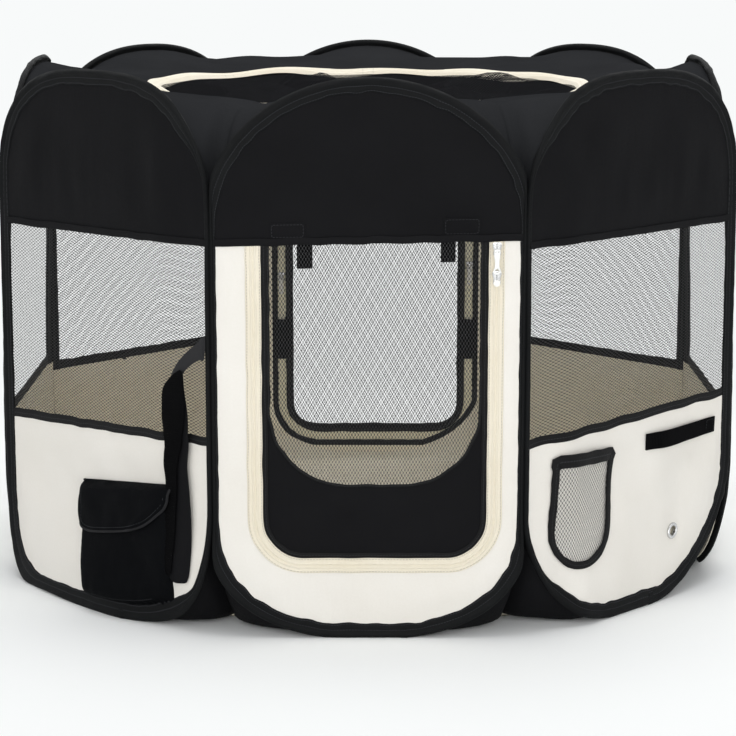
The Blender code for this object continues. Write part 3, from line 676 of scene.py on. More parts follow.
def cut_off(line, height, way):
    """The part of a closed line above (way 1) or below (way -1) a height, cut off straight."""
    level, limit = way * line[:, 1], way * height
    start = int(np.argmax((level > limit) & (np.roll(level, 1) <= limit)))
    rolled = np.roll(line, -start, 0)
    kept = rolled[way * rolled[:, 1] > limit + 0.001]
    return [(kept[0][0], height), *map(tuple, kept), (kept[-1][0], height)]


def arc(x, z, radius, start, end, steps):
    """Points of a circle's arc between two angles."""
    turns = [start + (end - start) * step / steps for step in range(steps + 1)]
    return [(x + radius * math.cos(turn), z + radius * math.sin(turn)) for turn in turns]


def circle(x, z, radius, steps):
    return arc(x, z, radius, 0, 2 * math.pi, steps)[:-1]


def u_line(left, right, low, high, corner, steps=12):
    """A U from the top right, round the foot, to the top left, with the direction out of it."""
    points = [
        (right, high), *arc(right - corner, low + corner, corner, 0, -math.pi / 2, steps),
        *arc(left + corner, low + corner, corner, -math.pi / 2, -math.pi, steps), (left, high),
    ]
    return with_normals(even(points, 0.005, closed=False), closed=False)


def moved(line, distance):
    return line[:, :2] + line[:, 2:] * distance


def within(points, outline):
    """Which points lie within an outline."""
    x, z = points[:, 0][:, None], points[:, 1][:, None]
    a = np.asarray(outline, float)
    b = np.roll(a, -1, 0)
    spans = (a[:, 1] > z) != (b[:, 1] > z)
    rise = np.where(b[:, 1] == a[:, 1], 1, b[:, 1] - a[:, 1])
    cross = a[:, 0] + (z - a[:, 1]) / rise * (b[:, 0] - a[:, 0])
    return (spans & (x < cross)).sum(1) % 2 == 1


def edge_distance(points, edge):
    away = np.full(len(points), np.inf)
    for part in np.array_split(edge, max(1, len(edge) // 64)):
        away = np.minimum(away, np.linalg.norm(points[:, None, :] - part[None], axis=2).min(1))
    return away


def triangles(outline, cell, holes=()):
    """Points and triangles that fill an outline evenly, less its holes."""
    loops = [spaced(one, cell) for one in (outline, *holes)]
    edge = np.vstack(loops)
    low, high = edge.min(0), edge.max(0)
    rows = np.arange(low[1] + cell / 2, high[1], cell * 0.87)
    lattice = np.array([
        (x + (cell / 2 if i % 2 else 0), z)
        for i, z in enumerate(rows) for x in np.arange(low[0], high[0], cell)
    ])
    keep = within(lattice, outline)
    for hole in holes:
        keep &= ~within(lattice, hole)
    lattice = lattice[keep]
    lattice = lattice[edge_distance(lattice, edge) > cell * 0.5]
    sides, start = [], 0
    for one in loops:
        sides += [(start + i, start + (i + 1) % len(one)) for i in range(len(one))]
        start += len(one)
    points = [Vector(p) for p in np.vstack([edge, lattice])]
    found, _, faces, *_ = delaunay_2d_cdt(points, sides, [], 1, 1e-7)
    found = np.array([tuple(p) for p in found])
    faces = np.array([tuple(face) for face in faces])
    for hole in holes:
        faces = faces[~within(found[faces].mean(1), hole)]
    return found, faces, edge_distance(found, edge)


def two_faced(
    name, number, flat, faces, front, back, finish, body="_panel", stands_for=(), lining=None,
):
    """A closed body between a front and a back depth over the same flat points of a panel."""
    count = len(flat)
    points = np.vstack([np.stack([flat[:, 0], depth, flat[:, 1]], -1) for depth in (front, back)])
    a, b, c = (flat[faces[:, i]] for i in range(3))
    turn = (b[:, 0] - a[:, 0]) * (c[:, 1] - a[:, 1]) - (b[:, 1] - a[:, 1]) * (c[:, 0] - a[:, 0])
    shown = np.where((turn < 0)[:, None], faces[:, ::-1], faces).tolist()
    hidden = [[corner + count for corner in reversed(face)] for face in shown]
    sides = {}
    for face in shown:
        for start, end in zip(face, face[1:] + face[:1]):
            if (end, start) in sides:
                del sides[end, start]
            else:
                sides[start, end] = True
    rim = [(end, start, start + count, end + count) for start, end in sides]
    every = shown + hidden + rim
    both = np.vstack([flat, flat])
    corner_uv = np.vstack([both[list(face)] for face in every])
    slots = [0] * len(shown) + [1] * len(shown) + [0] * len(rim) if lining else None
    finish = [finish, lining] if lining else finish
    return make(name, number, in_world(number, points), every, corner_uv, finish, body, stands_for, slots)


def flat_area(outline):
    line = np.asarray(outline, float)
    after = np.roll(line, -1, 0)
    return abs(float((line[:, 0] * after[:, 1] - after[:, 0] * line[:, 1]).sum())) / 2


def declare(piece, outline, holes=(), held="stretched"):
    """Give a piece of cloth the size that its outline was cut to."""
    line = np.asarray(outline, float)
    width, length = line.max(0) - line.min(0)
    area = flat_area(outline) - sum(flat_area(hole) for hole in holes)
    if area < 0.35 * width * length:
        length = np.linalg.norm(line - np.roll(line, 1, 0), axis=1).sum() / 2
        width = max(1.05 * area / length, 0.0105)
    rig.sheet(piece, flat=(float(width), float(length)), held=held, area=area)


surfaces = {}


def cloth(
    name, number, outline, finish, depth, stands_for, body="_panel", holes=(), cell=0.008,
    thick=CLOTH_THICK, lining=None,
):
    """A cloth cut to an outline in a panel's plane; depth(x, z, distance from the edge) is its middle."""
    flat, faces, away = triangles(outline, cell, holes)
    middle = depth(flat[:, 0], flat[:, 1], away)
    surfaces[own(number, name)] = (spaced(outline, cell), depth)
    if thick:
        front, back = middle - thick / 2, middle + thick / 2
        made = two_faced(name, number, flat, faces, front, back, finish, body, stands_for, lining)
    else:
        sheet = in_world(number, np.stack([flat[:, 0], middle, flat[:, 1]], -1))
        made = make(name, number, sheet, faces, flat[faces].reshape(-1, 2), finish, body, stands_for)
    declare(made, outline, holes)
    return made


def lies_on(name):
    """The depth of a cloth's outer face at any x and z."""
    edge, depth = surfaces[name]

    def at(x, z):
        x, z = np.broadcast_arrays(np.asarray(x, float), np.asarray(z, float))
        points = np.stack([x.ravel(), z.ravel()], -1)
        found = depth(points[:, 0], points[:, 1], edge_distance(points, edge))
        return found.reshape(x.shape) - CLOTH_THICK / 2

    return at


def skin(name, number, points, around, across, run, cap, finish, body, stands_for, closed=False):
    """A closed mesh over rings of points; across and run are its UVs, and cap those of an open end."""
    faces, spots = grid(len(points) // around, around, closed, True)
    uv = np.stack(np.broadcast_arrays(across[None, :], run[:, None]), -1).reshape(-1, 2)
    faces, corner_uv = list(faces), uv[spots.reshape(-1)]
    if not closed:
        faces += [range(around), range(len(points) - around, len(points))[::-1]]
        corner_uv = np.vstack([corner_uv, cap, cap[::-1]])
    return make(
        name, number, in_world(number, points), faces, corner_uv, finish, body, stands_for, closed=True,
    )


def sweep(
    name, number, line, section, finish, body="_panel", stands_for=(), closed=False, wobble=None,
):
    """A closed section of (offset, depth) carried along a line; a wobble moves its points."""
    line, section = np.asarray(line, float), np.asarray(section, float)
    run = run_along(line[:, :2])
    last = np.linalg.norm(line[0, :2] - line[-1, :2]) if closed else 0.0
    offset, depth = (np.broadcast_to(section[:, i], (len(line), len(section))) for i in (0, 1))
    if wobble:
        offset, depth = wobble(run[:, None], offset, depth, line)
    points = np.stack([
        line[:, None, 0] + line[:, None, 2] * offset, depth, line[:, None, 1] + line[:, None, 3] * offset,
    ], -1).reshape(-1, 3)
    across = np.append(section[:, 0], section[0, 0])
    runs = np.append(run, run[-1] + last)
    return skin(
        name, number, points, len(section), across, runs, section, finish, body, stands_for, closed,
    )


def rippled(seed, shortest=0.012, longest=0.05, aside=0.0005, up=0.0002, across=3):
    """A wobble for a tape that is sewn on a little unevenly."""
    ripple = waves(seed, shortest, longest)

    def wobble(run, offset, depth, line):
        return offset + aside * ripple(run, 0), depth + up * ripple(run, offset * across)

    return wobble


def flat_section(half, thick, centre=0.0):
    """A flat strap's section with round edges, standing on depth centre."""
    points = []
    for side in (1, -1):
        for angle in np.linspace(-math.pi / 2, math.pi / 2, 5):
            x = side * (half - thick / 2 + thick / 2 * math.cos(angle))
            points.append((x, centre + side * thick / 2 * math.sin(angle)))
    return points


def fold_flat(piece, number, keep=0.006, level=0.0036):
    """Let a piece flatten against its panel's inner face as the pen folds."""
    matrix = panel_matrix(number)
    inward = matrix.to_3x3() @ Vector((0, 1, 0))
    anchor = matrix @ Vector((0, level, 0))
    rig.squash(piece, "fold", axis=tuple(inward), anchor=tuple(anchor), keep=keep)


# ---- Panels

DEPTH_FRONT = -0.0006


def tuck(away):
    """0 where a cloth is held between the band's lips, 1 where it is free."""
    return smooth(away, 0.0055, 0.013)


def band_section():
    """A bead round the wire, then two layers of cloth to the inner edge."""
    points = [(-0.0006, 0.0), (0.0, 0.0011)]
    points += [(BEAD - BEAD * math.cos(a), BEAD * math.sin(a)) for a in np.linspace(0.55, 2.1, 5)]
    points += [(0.0070, 0.0022), (0.0082, 0.0017), (0.0094, 0.0021), (0.0115, 0.0020), (0.0135, 0.0017)]
    points += [(0.0148, 0.0014), (BAND_WIDTH, 0.0006)]
    return points + [(offset, -depth) for offset, depth in reversed(points[1:])]


def band_wobble(number):
    """Puckers where the band is gathered round the bends of its loop."""
    pucker = waves(number, 0.014, 0.045, count=14)
    slow = waves(number + 50, 0.06, 0.2)

    def move(run, offset, depth, line):
        x, z = line[:, None, 0], line[:, None, 1]
        bend = 0.35 + 0.65 * smooth(np.abs(z - 0.28), 0.12, 0.2)
        offset = offset * narrowed(number, x, z)
        share = smooth(offset, 0.005, 0.014)
        height = pucker(run + 0 * offset, offset * 3)
        offset = offset + share * bend * 0.0010 * pucker(run + 0 * offset, 0 * offset)
        lift = bend * share * (0.0006 * height + 0.0005 * slow(run + 0 * offset, 0 * offset))
        return offset, depth * (1 + 0.22 * bend * height) + lift

    return move


def upper_depth(seed):
    fold = waves(seed, 0.05, 0.22, (1.0, 0.35))
    pleat = waves(seed + 7, 0.018, 0.05, (1.0, 0.12))

    def depth(x, z, away):
        creased = 0.0009 * smooth(0.52 - z, 0.0, 0.1) * pleat(x, z)
        free = smooth(away, 0.0, 0.05) * (0.0030 * fold(x, z) + creased - 0.003)
        return tuck(away) * (DEPTH_FRONT + free)

    return depth


def skirt_depth(seed, swell=0.0018, slack=0.0014):
    fold = waves(seed, 0.04, 0.16)
    pull = waves(seed + 3, 0.012, 0.04, (1.0, 0.5))

    def depth(x, z, away):
        near = smooth(away, 0.0, 0.006) * (1 - smooth(away, 0.012, 0.04))
        free = smooth(away, 0.0, 0.03) * (slack * fold(x, z) - swell) + near * 0.0006 * pull(x, z)
        return tuck(away) * (DEPTH_FRONT + free)

    return depth


def net_depth(seed):
    sway = waves(seed, 0.06, 0.2)
    return lambda x, z, away: 0.0003 * tuck(away) + smooth(away, 0.0, 0.04) * 0.0016 * sway(x, z)


def band(number):
    sweep(
        "_band", number, LOOP, band_section(), "band", stands_for=("_binding", "_wire"), closed=True,
        wobble=band_wobble(number),
    )


def upper_cloth(number):
    hem = hem_height(number)
    outline = cut_off(inset(number, CLOTH_INSET), hem - 0.002, 1)
    cloth("_arch_cloth", number, outline, "black cloth", upper_depth(100 + number), ("_upper_cloth",))
    left, right = reach(number)
    line = strip_line((left, hem + 0.0015), (right, hem + 0.0015), 0.006)
    wobble = rippled(160 + number, 0.02, 0.08, 0.0006, 0.0003)
    sweep("_arch_hem", number, line, flat_section(0.0038, 0.0014, -0.0015), "hem", wobble=wobble)


def window(number):
    left, right = reach(number)
    low = tape_height(number)
    outline = [(left, low - 0.003), (right, low - 0.003), (right, UPPER_EDGE), (left, UPPER_EDGE)]
    node = ("_window_mesh",)
    cloth("_window_net", number, outline, "window net", net_depth(200 + number), node, thick=0)
    half = TAPE_HALF * (1 if PANELS[number] in FOOT_OUT else FAR_TAPE)
    line = strip_line((left, low), (right, low), 0.005)
    wobble = rippled(240 + number, 0.02, 0.07, 0.0007, 0.0004)
    sweep("_window_tape", number, line, flat_section(half, 0.0022), "trim", stands_for=node, wobble=wobble)


def grommet_hole(number, radius):
    return [circle(*GROMMET, radius, 24)] if PANELS[number] == "front_right" else ()


def skirt(number):
    outline = cut_off(inset(number, CLOTH_INSET), tape_height(number) - 0.003, -1)
    depth, holes = skirt_depth(300 + number, slack=0.0021), grommet_hole(number, 0.0055)
    cloth("_skirt", number, outline, "cream cloth", depth, ("_lower_cloth",), holes=holes, lining="lining")


def inner_wall(number):
    """The coated lining inside, which covers the bands below the windows."""
    top = hem_height(number) - 0.006 if number in DOORS else tape_height(number) - 0.004
    outline = cut_off(moved(LOOP, WALL_INSET.get(PANELS[number], 0.0018)), top, -1)
    if number in DOORS:
        opening = [p for p in moved(zip_line(number), 0.0125) if p[1] < top - 0.002]
        outline = [*outline, (opening[0][0], top), *opening, (opening[-1][0], top)]
    crease = waves(380 + number, 0.05, 0.2)

    def depth(x, z, away):
        over_band = smooth(np.abs(x), 0.146, 0.158)
        tucked = smooth(z, top - 0.020, top - 0.002) * (1 - over_band)
        return 0.0046 + 0.0004 * crease(x, z) - 0.0034 * tucked

    node = "_surround" if number in DOORS else "_lower_cloth"
    holes = grommet_hole(number, 0.0060)
    made = cloth("_inner_wall", number, outline, "lining", depth, (node,), holes=holes)
    fold_flat(made, number, keep=0.3, level=0.0030)


def zip_line(number):
    """The zip's middle line in the front or back panel, from the top right round to the top left."""
    top = hem_height(number) - 0.0022
    if number == 0:
        return u_line(-ZIP_WIDE, ZIP_NARROW, DOOR_SILL, top, DOOR_CORNER)
    return u_line(-BACK_ZIP_FAR, BACK_ZIP_NEAR, BACK_DOOR_SILL, top, DOOR_CORNER)


def zip_section(depth):
    """A smooth zip flap: tape edge, stitched shoulder, and two soft ridges over the coil."""
    outer = [
        (0.0080, 0.0001), (0.0078, 0.0009), (0.0070, 0.0012), (0.0066, 0.0008), (0.0062, 0.0012),
        (0.0046, 0.0011), (0.0036, 0.0010), (0.0028, 0.0019), (0.0018, 0.0021), (0.0010, 0.0013),
        (0.0, 0.0008),
    ]
    over = [(offset, depth - height) for offset, height in outer]
    over += [(-offset, depth - height) for offset, height in reversed(outer[:-1])]
    return over + [(-0.0070, depth + 0.0006), (0.0070, depth + 0.0006)]


def beside(line, distance):
    """A line with its normals, moved along them."""
    return np.hstack([moved(line, distance), line[:, 2:]])


def doorway(number):
    line = zip_line(number)
    foot = cut_off(inset(number, CLOTH_INSET), hem_height(number) - 0.001, -1)
    outline = [*foot, *moved(line, ZIP_TAPE / 2 - 0.002)]
    depth = skirt_depth(320 + number, 0.0008)
    cloth("_frame_cloth", number, outline, "cream cloth", depth, ("_surround",))
    # The back door's zip takes the brighter copy of the zip tape, which is painted light for the pen's shade.
    sweep(
        "_zip_band", number, line, zip_section(-0.0006), "zip" if number == 0 else "inner zip",
        stands_for=("_zip",), wobble=rippled(340 + number, 0.015, 0.06, 0.0003, 0.0003, 1),
    )
    for name, offset, half, body, seed in (
        ("_outer_seam_tape", ZIP_SEAM, 0.0033 if number == 0 else 0.0045, "_panel", 363),
        ("_inner_seam_tape", -ZIP_SEAM, 0.0033, "_door", 360),
    ):
        section = flat_section(half, 0.0012, 0.0011)
        sweep(name, number, beside(line, offset), section, "trim", body, wobble=rippled(seed + number))


def door(number, sill, corner):
    line = zip_line(number)
    edge = moved(line, -ZIP_TAPE / 2 - 0.0004)
    right, left = edge[0][0] - 0.0065, edge[-1][0] + 0.0065
    opening = u_line(left, right, sill, hem_height(number) - 0.0015, corner)
    outline, depth = [*edge, *opening[::-1, :2]], skirt_depth(400 + number, 0.0010)
    cloth("_leaf_cloth", number, outline, "black cloth", depth, ("_door_cloth",), "_door", cell=0.007)
    outline, depth = moved(opening, 0.002), net_depth(420 + number)
    cloth("_leaf_net", number, outline, "net", depth, ("_door_mesh",), "_door", thick=0)
    for name, way, section, seed in (
        ("_leaf_edge", beside(line, -ZIP_TAPE / 2 - 0.0030), flat_section(0.0029, 0.0018, -0.0006), 440),
        ("_leaf_seam", opening, flat_section(0.0016, 0.0012, -0.0010), 450),
    ):
        sweep(name, number, way, section, "trim", "_door", wobble=rippled(seed + number))


for panel_number in range(len(PANELS)):
    band(panel_number)
    upper_cloth(panel_number)
    if panel_number in DOORS:
        doorway(panel_number)
    else:
        window(panel_number)
        skirt(panel_number)
    inner_wall(panel_number)
door(0, 0.163, 0.080)
door(4, BACK_DOOR_SILL + 0.0168, 0.030)


# ---- Roof and base

SECTOR_COLUMNS = 27
ROOF_ROWS = 13
SEAM = 0.008
SEAM_DEPTH = 0.0030
SEAM_START = math.radians(3)
ROOF_FAR = 0.5635
MAT_EDGE = APOTHEM - 0.0434
MAT_CORNER = 0.372
# Panels where the base cloth's black edge shows beside its lining
BARE_EDGE = ("front", "front_left", "front_right")
# The roof zip's profile: radius beyond the zip's own, and height over the rim
RIBBON = (
    (0.0085, 0.0012), (0.0066, 0.0006), (0.0062, 0.0010), (0.0036, -0.0004), (0.0028, 0.0006),
    (0.0014, 0.0003), (0.0, -0.0018), (-0.0014, -0.0012), (-0.0028, -0.0016), (-0.0036, -0.0032),
    (-0.0055, -0.0050), (-0.0070, -0.0068),
)
# Humps of the roof's net: x, y, half width and height
HUMPS = (
    (-0.12, -0.14, 0.060, 0.022), (0.150, 0.08, 0.060, 0.026), (-0.055, 0.12, 0.035, 0.020),
    (0.11, -0.08, 0.05, 0.018), (-0.17, 0.02, 0.04, 0.016), (-0.02, -0.10, 0.05, 0.014),
)
RIM_DIP = waves(520, 0.10, 0.35)
ROOF_FOLD = waves(500, 0.07, 0.25)
RIBBON_WAVE = waves(540, 0.08, 0.30)
BASE_FOLD = waves(600, 0.05, 0.2)


def sewn(number, place, inward):
    """A seam's point on a panel's inner face, SEAM in from a place on the loop's outer edge."""
    x, z = np.array(place) + SEAM * np.array(inward) / math.hypot(*inward)
    return in_world(number, [(x, SEAM_DEPTH, z)])[0]


def roof_seam(number, angle):
    run, up = math.cos(angle), math.sin(angle)
    return sewn(number, (-LOOP_HALF * run, HEIGHT - TOP_ARCH * (1 - up)), (run / LOOP_HALF, -up / TOP_ARCH))


def base_seam(number, angle):
    run, up, share = math.cos(angle), abs(math.sin(angle)), 2 / BOTTOM_POWER
    across, steep = (math.copysign(abs(run) ** power, run) for power in (share, 2 - share))
    height = max(0.0, BOTTOM_ARCH * (1 - up ** share / BOTTOM_FLAT))
    return sewn(number, (-LOOP_HALF * across, height), (steep / LOOP_HALF, up ** (2 - share) / BOTTOM_ARCH))


def seam_point(seam, number, share):
    """A seam's point from a panel's left end to its right; the two ends are shared with the neighbours."""
    def at(panel, part):
        return seam(panel % 8, SEAM_START + (math.pi - 2 * SEAM_START) * part)

    if share == 0:
        return (at(number - 1, 1.0) + at(number, 0.0)) / 2
    if share == 1:
        return (at(number, 1.0) + at(number + 1, 0.0)) / 2
    return at(number, (share * (SECTOR_COLUMNS - 1) - 1) / (SECTOR_COLUMNS - 3))


def rim_drop(x, y):
    """How much higher or lower than a plane the roof's rim runs."""
    return 0.003 * RIM_DIP(x, y) - 0.0095 * smooth(-y, 0.02, 0.20)


def roof_row(number, share, turn):
    """Points from the loop's arch in to the zip round the roof's opening."""
    seam = seam_point(roof_seam, number, share)
    radius = ROOF_ZIP_RADIUS + 0.0075
    rim = np.array([radius * math.cos(turn), radius * math.sin(turn), ROOF_RIM + 0.0015])
    row = []
    for way in np.linspace(0, 1, ROOF_ROWS):
        x, y, z = seam + (rim - seam) * way
        z += rim_drop(*rim[:2]) * way
        z += max(HEIGHT - 0.012 - seam[2], 0) * smooth(way, 0.0, 0.38) * (1 - way) ** 1.2 * 0.95
        top = ROOF_FAR + (rim[2] - ROOF_FAR) * way ** 2
        full = seam[2] + (top - seam[2]) * smooth(way, 0.0, 0.24)
        z += (full - z) * smooth(seam[1], 0.0, 0.30)
        z += 0.006 * smooth(-seam[1], 0.05, 0.25) * math.exp(-(((way - 0.84) / 0.09) ** 2))
        z += math.sin(math.pi * way) * (0.0035 * ROOF_FOLD(x, y) - 0.003)
        row.append((x, y, z))
    return row


def ribbon_row(number, share, turn):
    row = []
    for offset, rise in RIBBON:
        x, y = ((ROOF_ZIP_RADIUS + offset) * way(turn) for way in (math.cos, math.sin))
        wave = (0.0085 - offset) * 0.26 * RIBBON_WAVE(x, y)
        row.append((x, y, ROOF_RIM + rise + 0.0015 + rim_drop(x, y) + wave))
    return row


def base_row(number, share, turn):
    """Points from the loop's foot down and in to the middle of the floor."""
    seam = seam_point(base_seam, number, share)
    x, y, z = seam
    spread = (1 + 38 * max(z - 0.006, 0)) / math.hypot(x, y)
    steps = ((0.002, 0.75), (0.005, 0.45), (0.010, 0.12), (0.016, 0.03), (0.030, 0.0))
    row = [np.array([x - x * inward * spread, y - y * inward * spread, z * part]) for inward, part in steps]
    row += [row[-1] * part for part in (0.75, 0.5, 0.25, 0.02)]
    for point in row:
        point[2] += 0.0008 + 0.0004 * BASE_FOLD(point[0], point[1])
    return [seam, *row]


def mat_row(number, share, turn):
    edge = min(MAT_EDGE / math.cos((share - 0.5) * TURN), MAT_CORNER)
    row = []
    for part in (1.0, 0.995, 0.97, 0.9, 0.75, 0.5, 0.25, 0.02):
        x, y = edge * part * math.cos(turn), edge * part * math.sin(turn)
        crown = 0.0006 if part == 1.0 else 0.0050 * smooth(1 - part, 0, 0.03) ** 0.5
        row.append((x, y, 0.0016 + crown + 0.0005 * BASE_FOLD(x * 2, y * 2) * (part < 0.99)))
    return row


def seamless(sectors):
    """Vertex normals of neighbouring grids, the same along the edges they share."""
    ring = np.concatenate([sector[:-1] for sector in sectors])
    normals = np.cross(np.roll(ring, -1, 0) - np.roll(ring, 1, 0), np.gradient(ring, axis=1))
    normals /= np.linalg.norm(normals, axis=-1)[..., None] + 1e-12
    normals = np.where(normals[..., 2:] < 0, -normals, normals)
    count = SECTOR_COLUMNS - 1
    return [np.roll(normals, -i * count, 0)[: count + 1] for i in range(len(sectors))]


def sheet_sectors(kind, row, finish, node, thick=0.0008, lining=None):
    """One thin piece for each panel, which folds flat against it; row gives its points across the ring."""
    sectors = [
        np.array([
            row(number, share, TURN * (number - 0.5 + share) - math.pi / 2)
            for share in np.linspace(0, 1, SECTOR_COLUMNS)
        ])
        for number in range(len(PANELS))
    ]
    for number, (points, up) in enumerate(zip(sectors, seamless(sectors))):
        rows, columns = points.shape[:2]
        faces, _ = grid(rows, columns)
        spots = np.arange(rows * columns).reshape(rows, columns)
        rim = np.concatenate([spots[:, 0], spots[-1, 1:], spots[-2::-1, -1], spots[0, -2:0:-1]])
        after, count = np.roll(rim, -1), spots.size
        every = [*faces, *(faces[:, ::-1] + count), *np.stack([rim, rim + count, after + count, after], -1)]
        both = np.vstack([(points + up * side * thick / 2).reshape(-1, 3) for side in (1, -1)])
        uv = (both @ np.array(Matrix.Rotation(TURN * number, 3, "Z")))[:, :2]
        slots = np.zeros(len(every), int)
        if lining:
            slots[:len(faces)] = faces[:, 0] % columns >= (PANELS[number] in BARE_EDGE)
        made = make(
            kind, number, both, every, np.vstack([uv[face] for face in every]),
            [finish, lining] if lining else finish, stands_for=(node,), slots=slots, closed=True,
        )
        shade = np.vstack([up.reshape(-1, 3), -up.reshape(-1, 3)])
        made.data.normals_split_custom_set_from_vertices(shade.tolist())
        fold_flat(made, number)
        along = points[1:, :-1] - points[:-1, :-1]
        across = points[:-1, 1:] - points[:-1, :-1]
        area = float(np.linalg.norm(np.cross(along, across), axis=-1).sum())
        width = float(np.linalg.norm(points[1:, 0] - points[:-1, 0], axis=-1).sum())
        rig.sheet(made, flat=(width, area / (0.8 * width)), held="stretched", area=area)


def make_cover():
    """The slack mesh cover inside the roof zip."""
    rings, around = 22, 96
    edge = ROOF_ZIP_RADIUS - 0.0060
    turns = 2 * math.pi * np.arange(around) / around
    radii = edge * np.arange(1, rings + 1)[:, None] / rings
    x, y = (np.append(0.0, radii * way(turns)) for way in (np.cos, np.sin))
    radius = np.hypot(x, y) / edge
    slack = waves(530, 0.04, 0.2)
    loose = 1 - radius ** 6
    height = ROOF_RIM - 0.0040 - 0.016 * (1 - radius ** 2) + loose * 0.006 * slack(x, y)
    height += rim_drop(x, y) * smooth(radius, 0.8, 1.0)
    for hump_x, hump_y, wide, tall in HUMPS:
        away = np.hypot((x - hump_x) / wide, (y - hump_y) / 0.030)
        height += tall * np.exp(-(away ** 1.5)) * loose
    faces = [(0, 1 + i, 1 + (i + 1) % around) for i in range(around)]
    faces += list(grid(rings, around, False, True)[0] + 1)
    flat = np.column_stack([x, y])
    made = make(
        "roof_cover_net", 0, np.column_stack([x, y, height]), faces,
        np.vstack([flat[list(face)] for face in faces]), "roof net", "roof_cover", ("roof_cover",),
    )
    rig.sheet(made, flat=(2 * edge, 2 * edge), held="hung", area=math.pi * edge ** 2)
    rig.squash(made, "fold", axis=(0, 1, 0), anchor=(0, -APOTHEM + 0.008, 0), keep=0.02)


sheet_sectors("_roof_cloth", roof_row, "roof cloth", "roof_cloth")
sheet_sectors("_roof_zip", ribbon_row, "zip", "roof_zip")
make_cover()
sheet_sectors("_base_cloth", base_row, "black cloth", "floor", lining="lining")
sheet_sectors("_mat_cloth", mat_row, "mat", "floor_mat", thick=0.0012)


# ---- Small parts

FRONT_LEFT, FRONT_RIGHT, BACK = (PANELS.index(name) for name in ("front_left", "front_right", "back"))
STITCH_PITCH = 0.0034
STITCH_LENGTH = 0.0023
THREAD_RADIUS = 0.00032


def rounded_box(left, right, low, high, foot=0.002, top=0.002, steps=8):
    """A box outline with rounded corners, from its top right corner round by the foot."""
    corners = (
        (right - top, high - top, top, math.pi / 2), (right - foot, low + foot, foot, 0.0),
        (left + foot, low + foot, foot, -math.pi / 2), (left + top, high - top, top, -math.pi),
    )
    points = []
    for x, z, radius, start in corners:
        points += arc(x, z, radius, start, start - math.pi / 2, steps)
    return points


def curve(points, step, closed=True):
    """A smooth line through points, an equal step apart."""
    points = np.asarray(points, float)
    count = len(points)
    shares = np.linspace(0, 1, 9)[:-1, None]
    made = []
    for i in range(count if closed else count - 1):
        places = np.arange(i - 1, i + 3)
        a, b, c, d = points[places % count if closed else np.clip(places, 0, count - 1)]
        made.append(0.5 * (
            2 * b + (c - a) * shares + (2 * a - 5 * b + 4 * c - d) * shares ** 2
            + (3 * b - a - 3 * c + d) * shares ** 3
        ))
    if not closed:
        made.append(points[-1:])
    return even(np.vstack(made), step, closed)


def mirrored(x, half, step):
    """A smooth closed outline from its right half, given as distances from x and heights."""
    left = [(x - wide, z) for wide, z in reversed(half) if wide]
    return curve([(x + wide, z) for wide, z in half] + left, step)


def plate(
    name, number, outline, centre, thick, finish, body="_panel", stands_for=(), holes=(), cell=0.0013,
    edge=0.0005,
):
    """A thin solid with rounded edges in a panel's plane; centre is its depth, plain or of x and z."""
    flat, faces, away = triangles(outline, cell, holes)
    half = thick / 2 * np.sqrt(np.clip(1 - (1 - np.clip(away / edge, 0, 1)) ** 2, 0.05, 1))
    middle = centre(flat[:, 0], flat[:, 1]) if callable(centre) else np.full(len(flat), centre)
    return two_faced(name, number, flat, faces, middle - half, middle + half, finish, body, stands_for)


def tube(name, number, route, radius, finish, body):
    """A round cord along points of a panel, given as x, depth and z."""
    route = np.asarray(route, float)
    way = np.gradient(route, axis=0)
    way /= np.linalg.norm(way, axis=1)[:, None]
    side = np.cross(way[0], (0.31, 0.87, 0.38))
    turns = 2 * math.pi * np.arange(8) / 8
    points = []
    for place, ahead in zip(route, way):
        side = side - ahead * np.dot(side, ahead)
        side /= np.linalg.norm(side)
        up = np.cross(ahead, side)
        points.append(place + radius * (np.cos(turns)[:, None] * side + np.sin(turns)[:, None] * up))
    round_way = np.arange(9) / 8 * 2 * math.pi * radius
    ends = np.stack([np.cos(turns), np.sin(turns)], -1) * radius
    return skin(name, number, np.vstack(points), 8, round_way, run_along(route), ends, finish, body, ())


def stitching(name, number, line, depth, body="_panel"):
    """A row of single stitches along a line of x and z, lying at a depth of x and z."""
    places = even(line, STITCH_PITCH, False)
    middles = (places[:-1] + places[1:]) / 2
    ways = np.diff(places, axis=0)
    ways /= np.linalg.norm(ways, axis=1)[:, None]
    turns = 2 * math.pi * np.arange(6) / 6
    single = [*grid(4, 6, False, True)[0], range(6), range(18, 24)[::-1]]
    points, faces = [], []
    for middle, way, level in zip(middles, ways, depth(middles[:, 0], middles[:, 1])):
        faces += [[len(points) + corner for corner in face] for face in single]
        across = np.array([-way[1], way[0]])
        for share, girth in ((-0.5, 0.35), (-0.3, 1.0), (0.3, 1.0), (0.5, 0.35)):
            radius = girth * THREAD_RADIUS
            for turn in turns:
                x, z = middle + way * share * STITCH_LENGTH + across * radius * math.cos(turn)
                points.append((x, level + radius * math.sin(turn), z))
    points = np.array(points)
    corner_uv = np.vstack([points[face][:, [0, 2]] for face in faces])
    return make(name, number, in_world(number, points), faces, corner_uv, "thread", body)


def rounded_rise(distance, reach):
    """0 at an edge, up to 1 at reach from it, along a quarter of a circle."""
    return np.sqrt(1 - (1 - np.clip(np.asarray(distance, float) / reach, 0, 1)) ** 2)


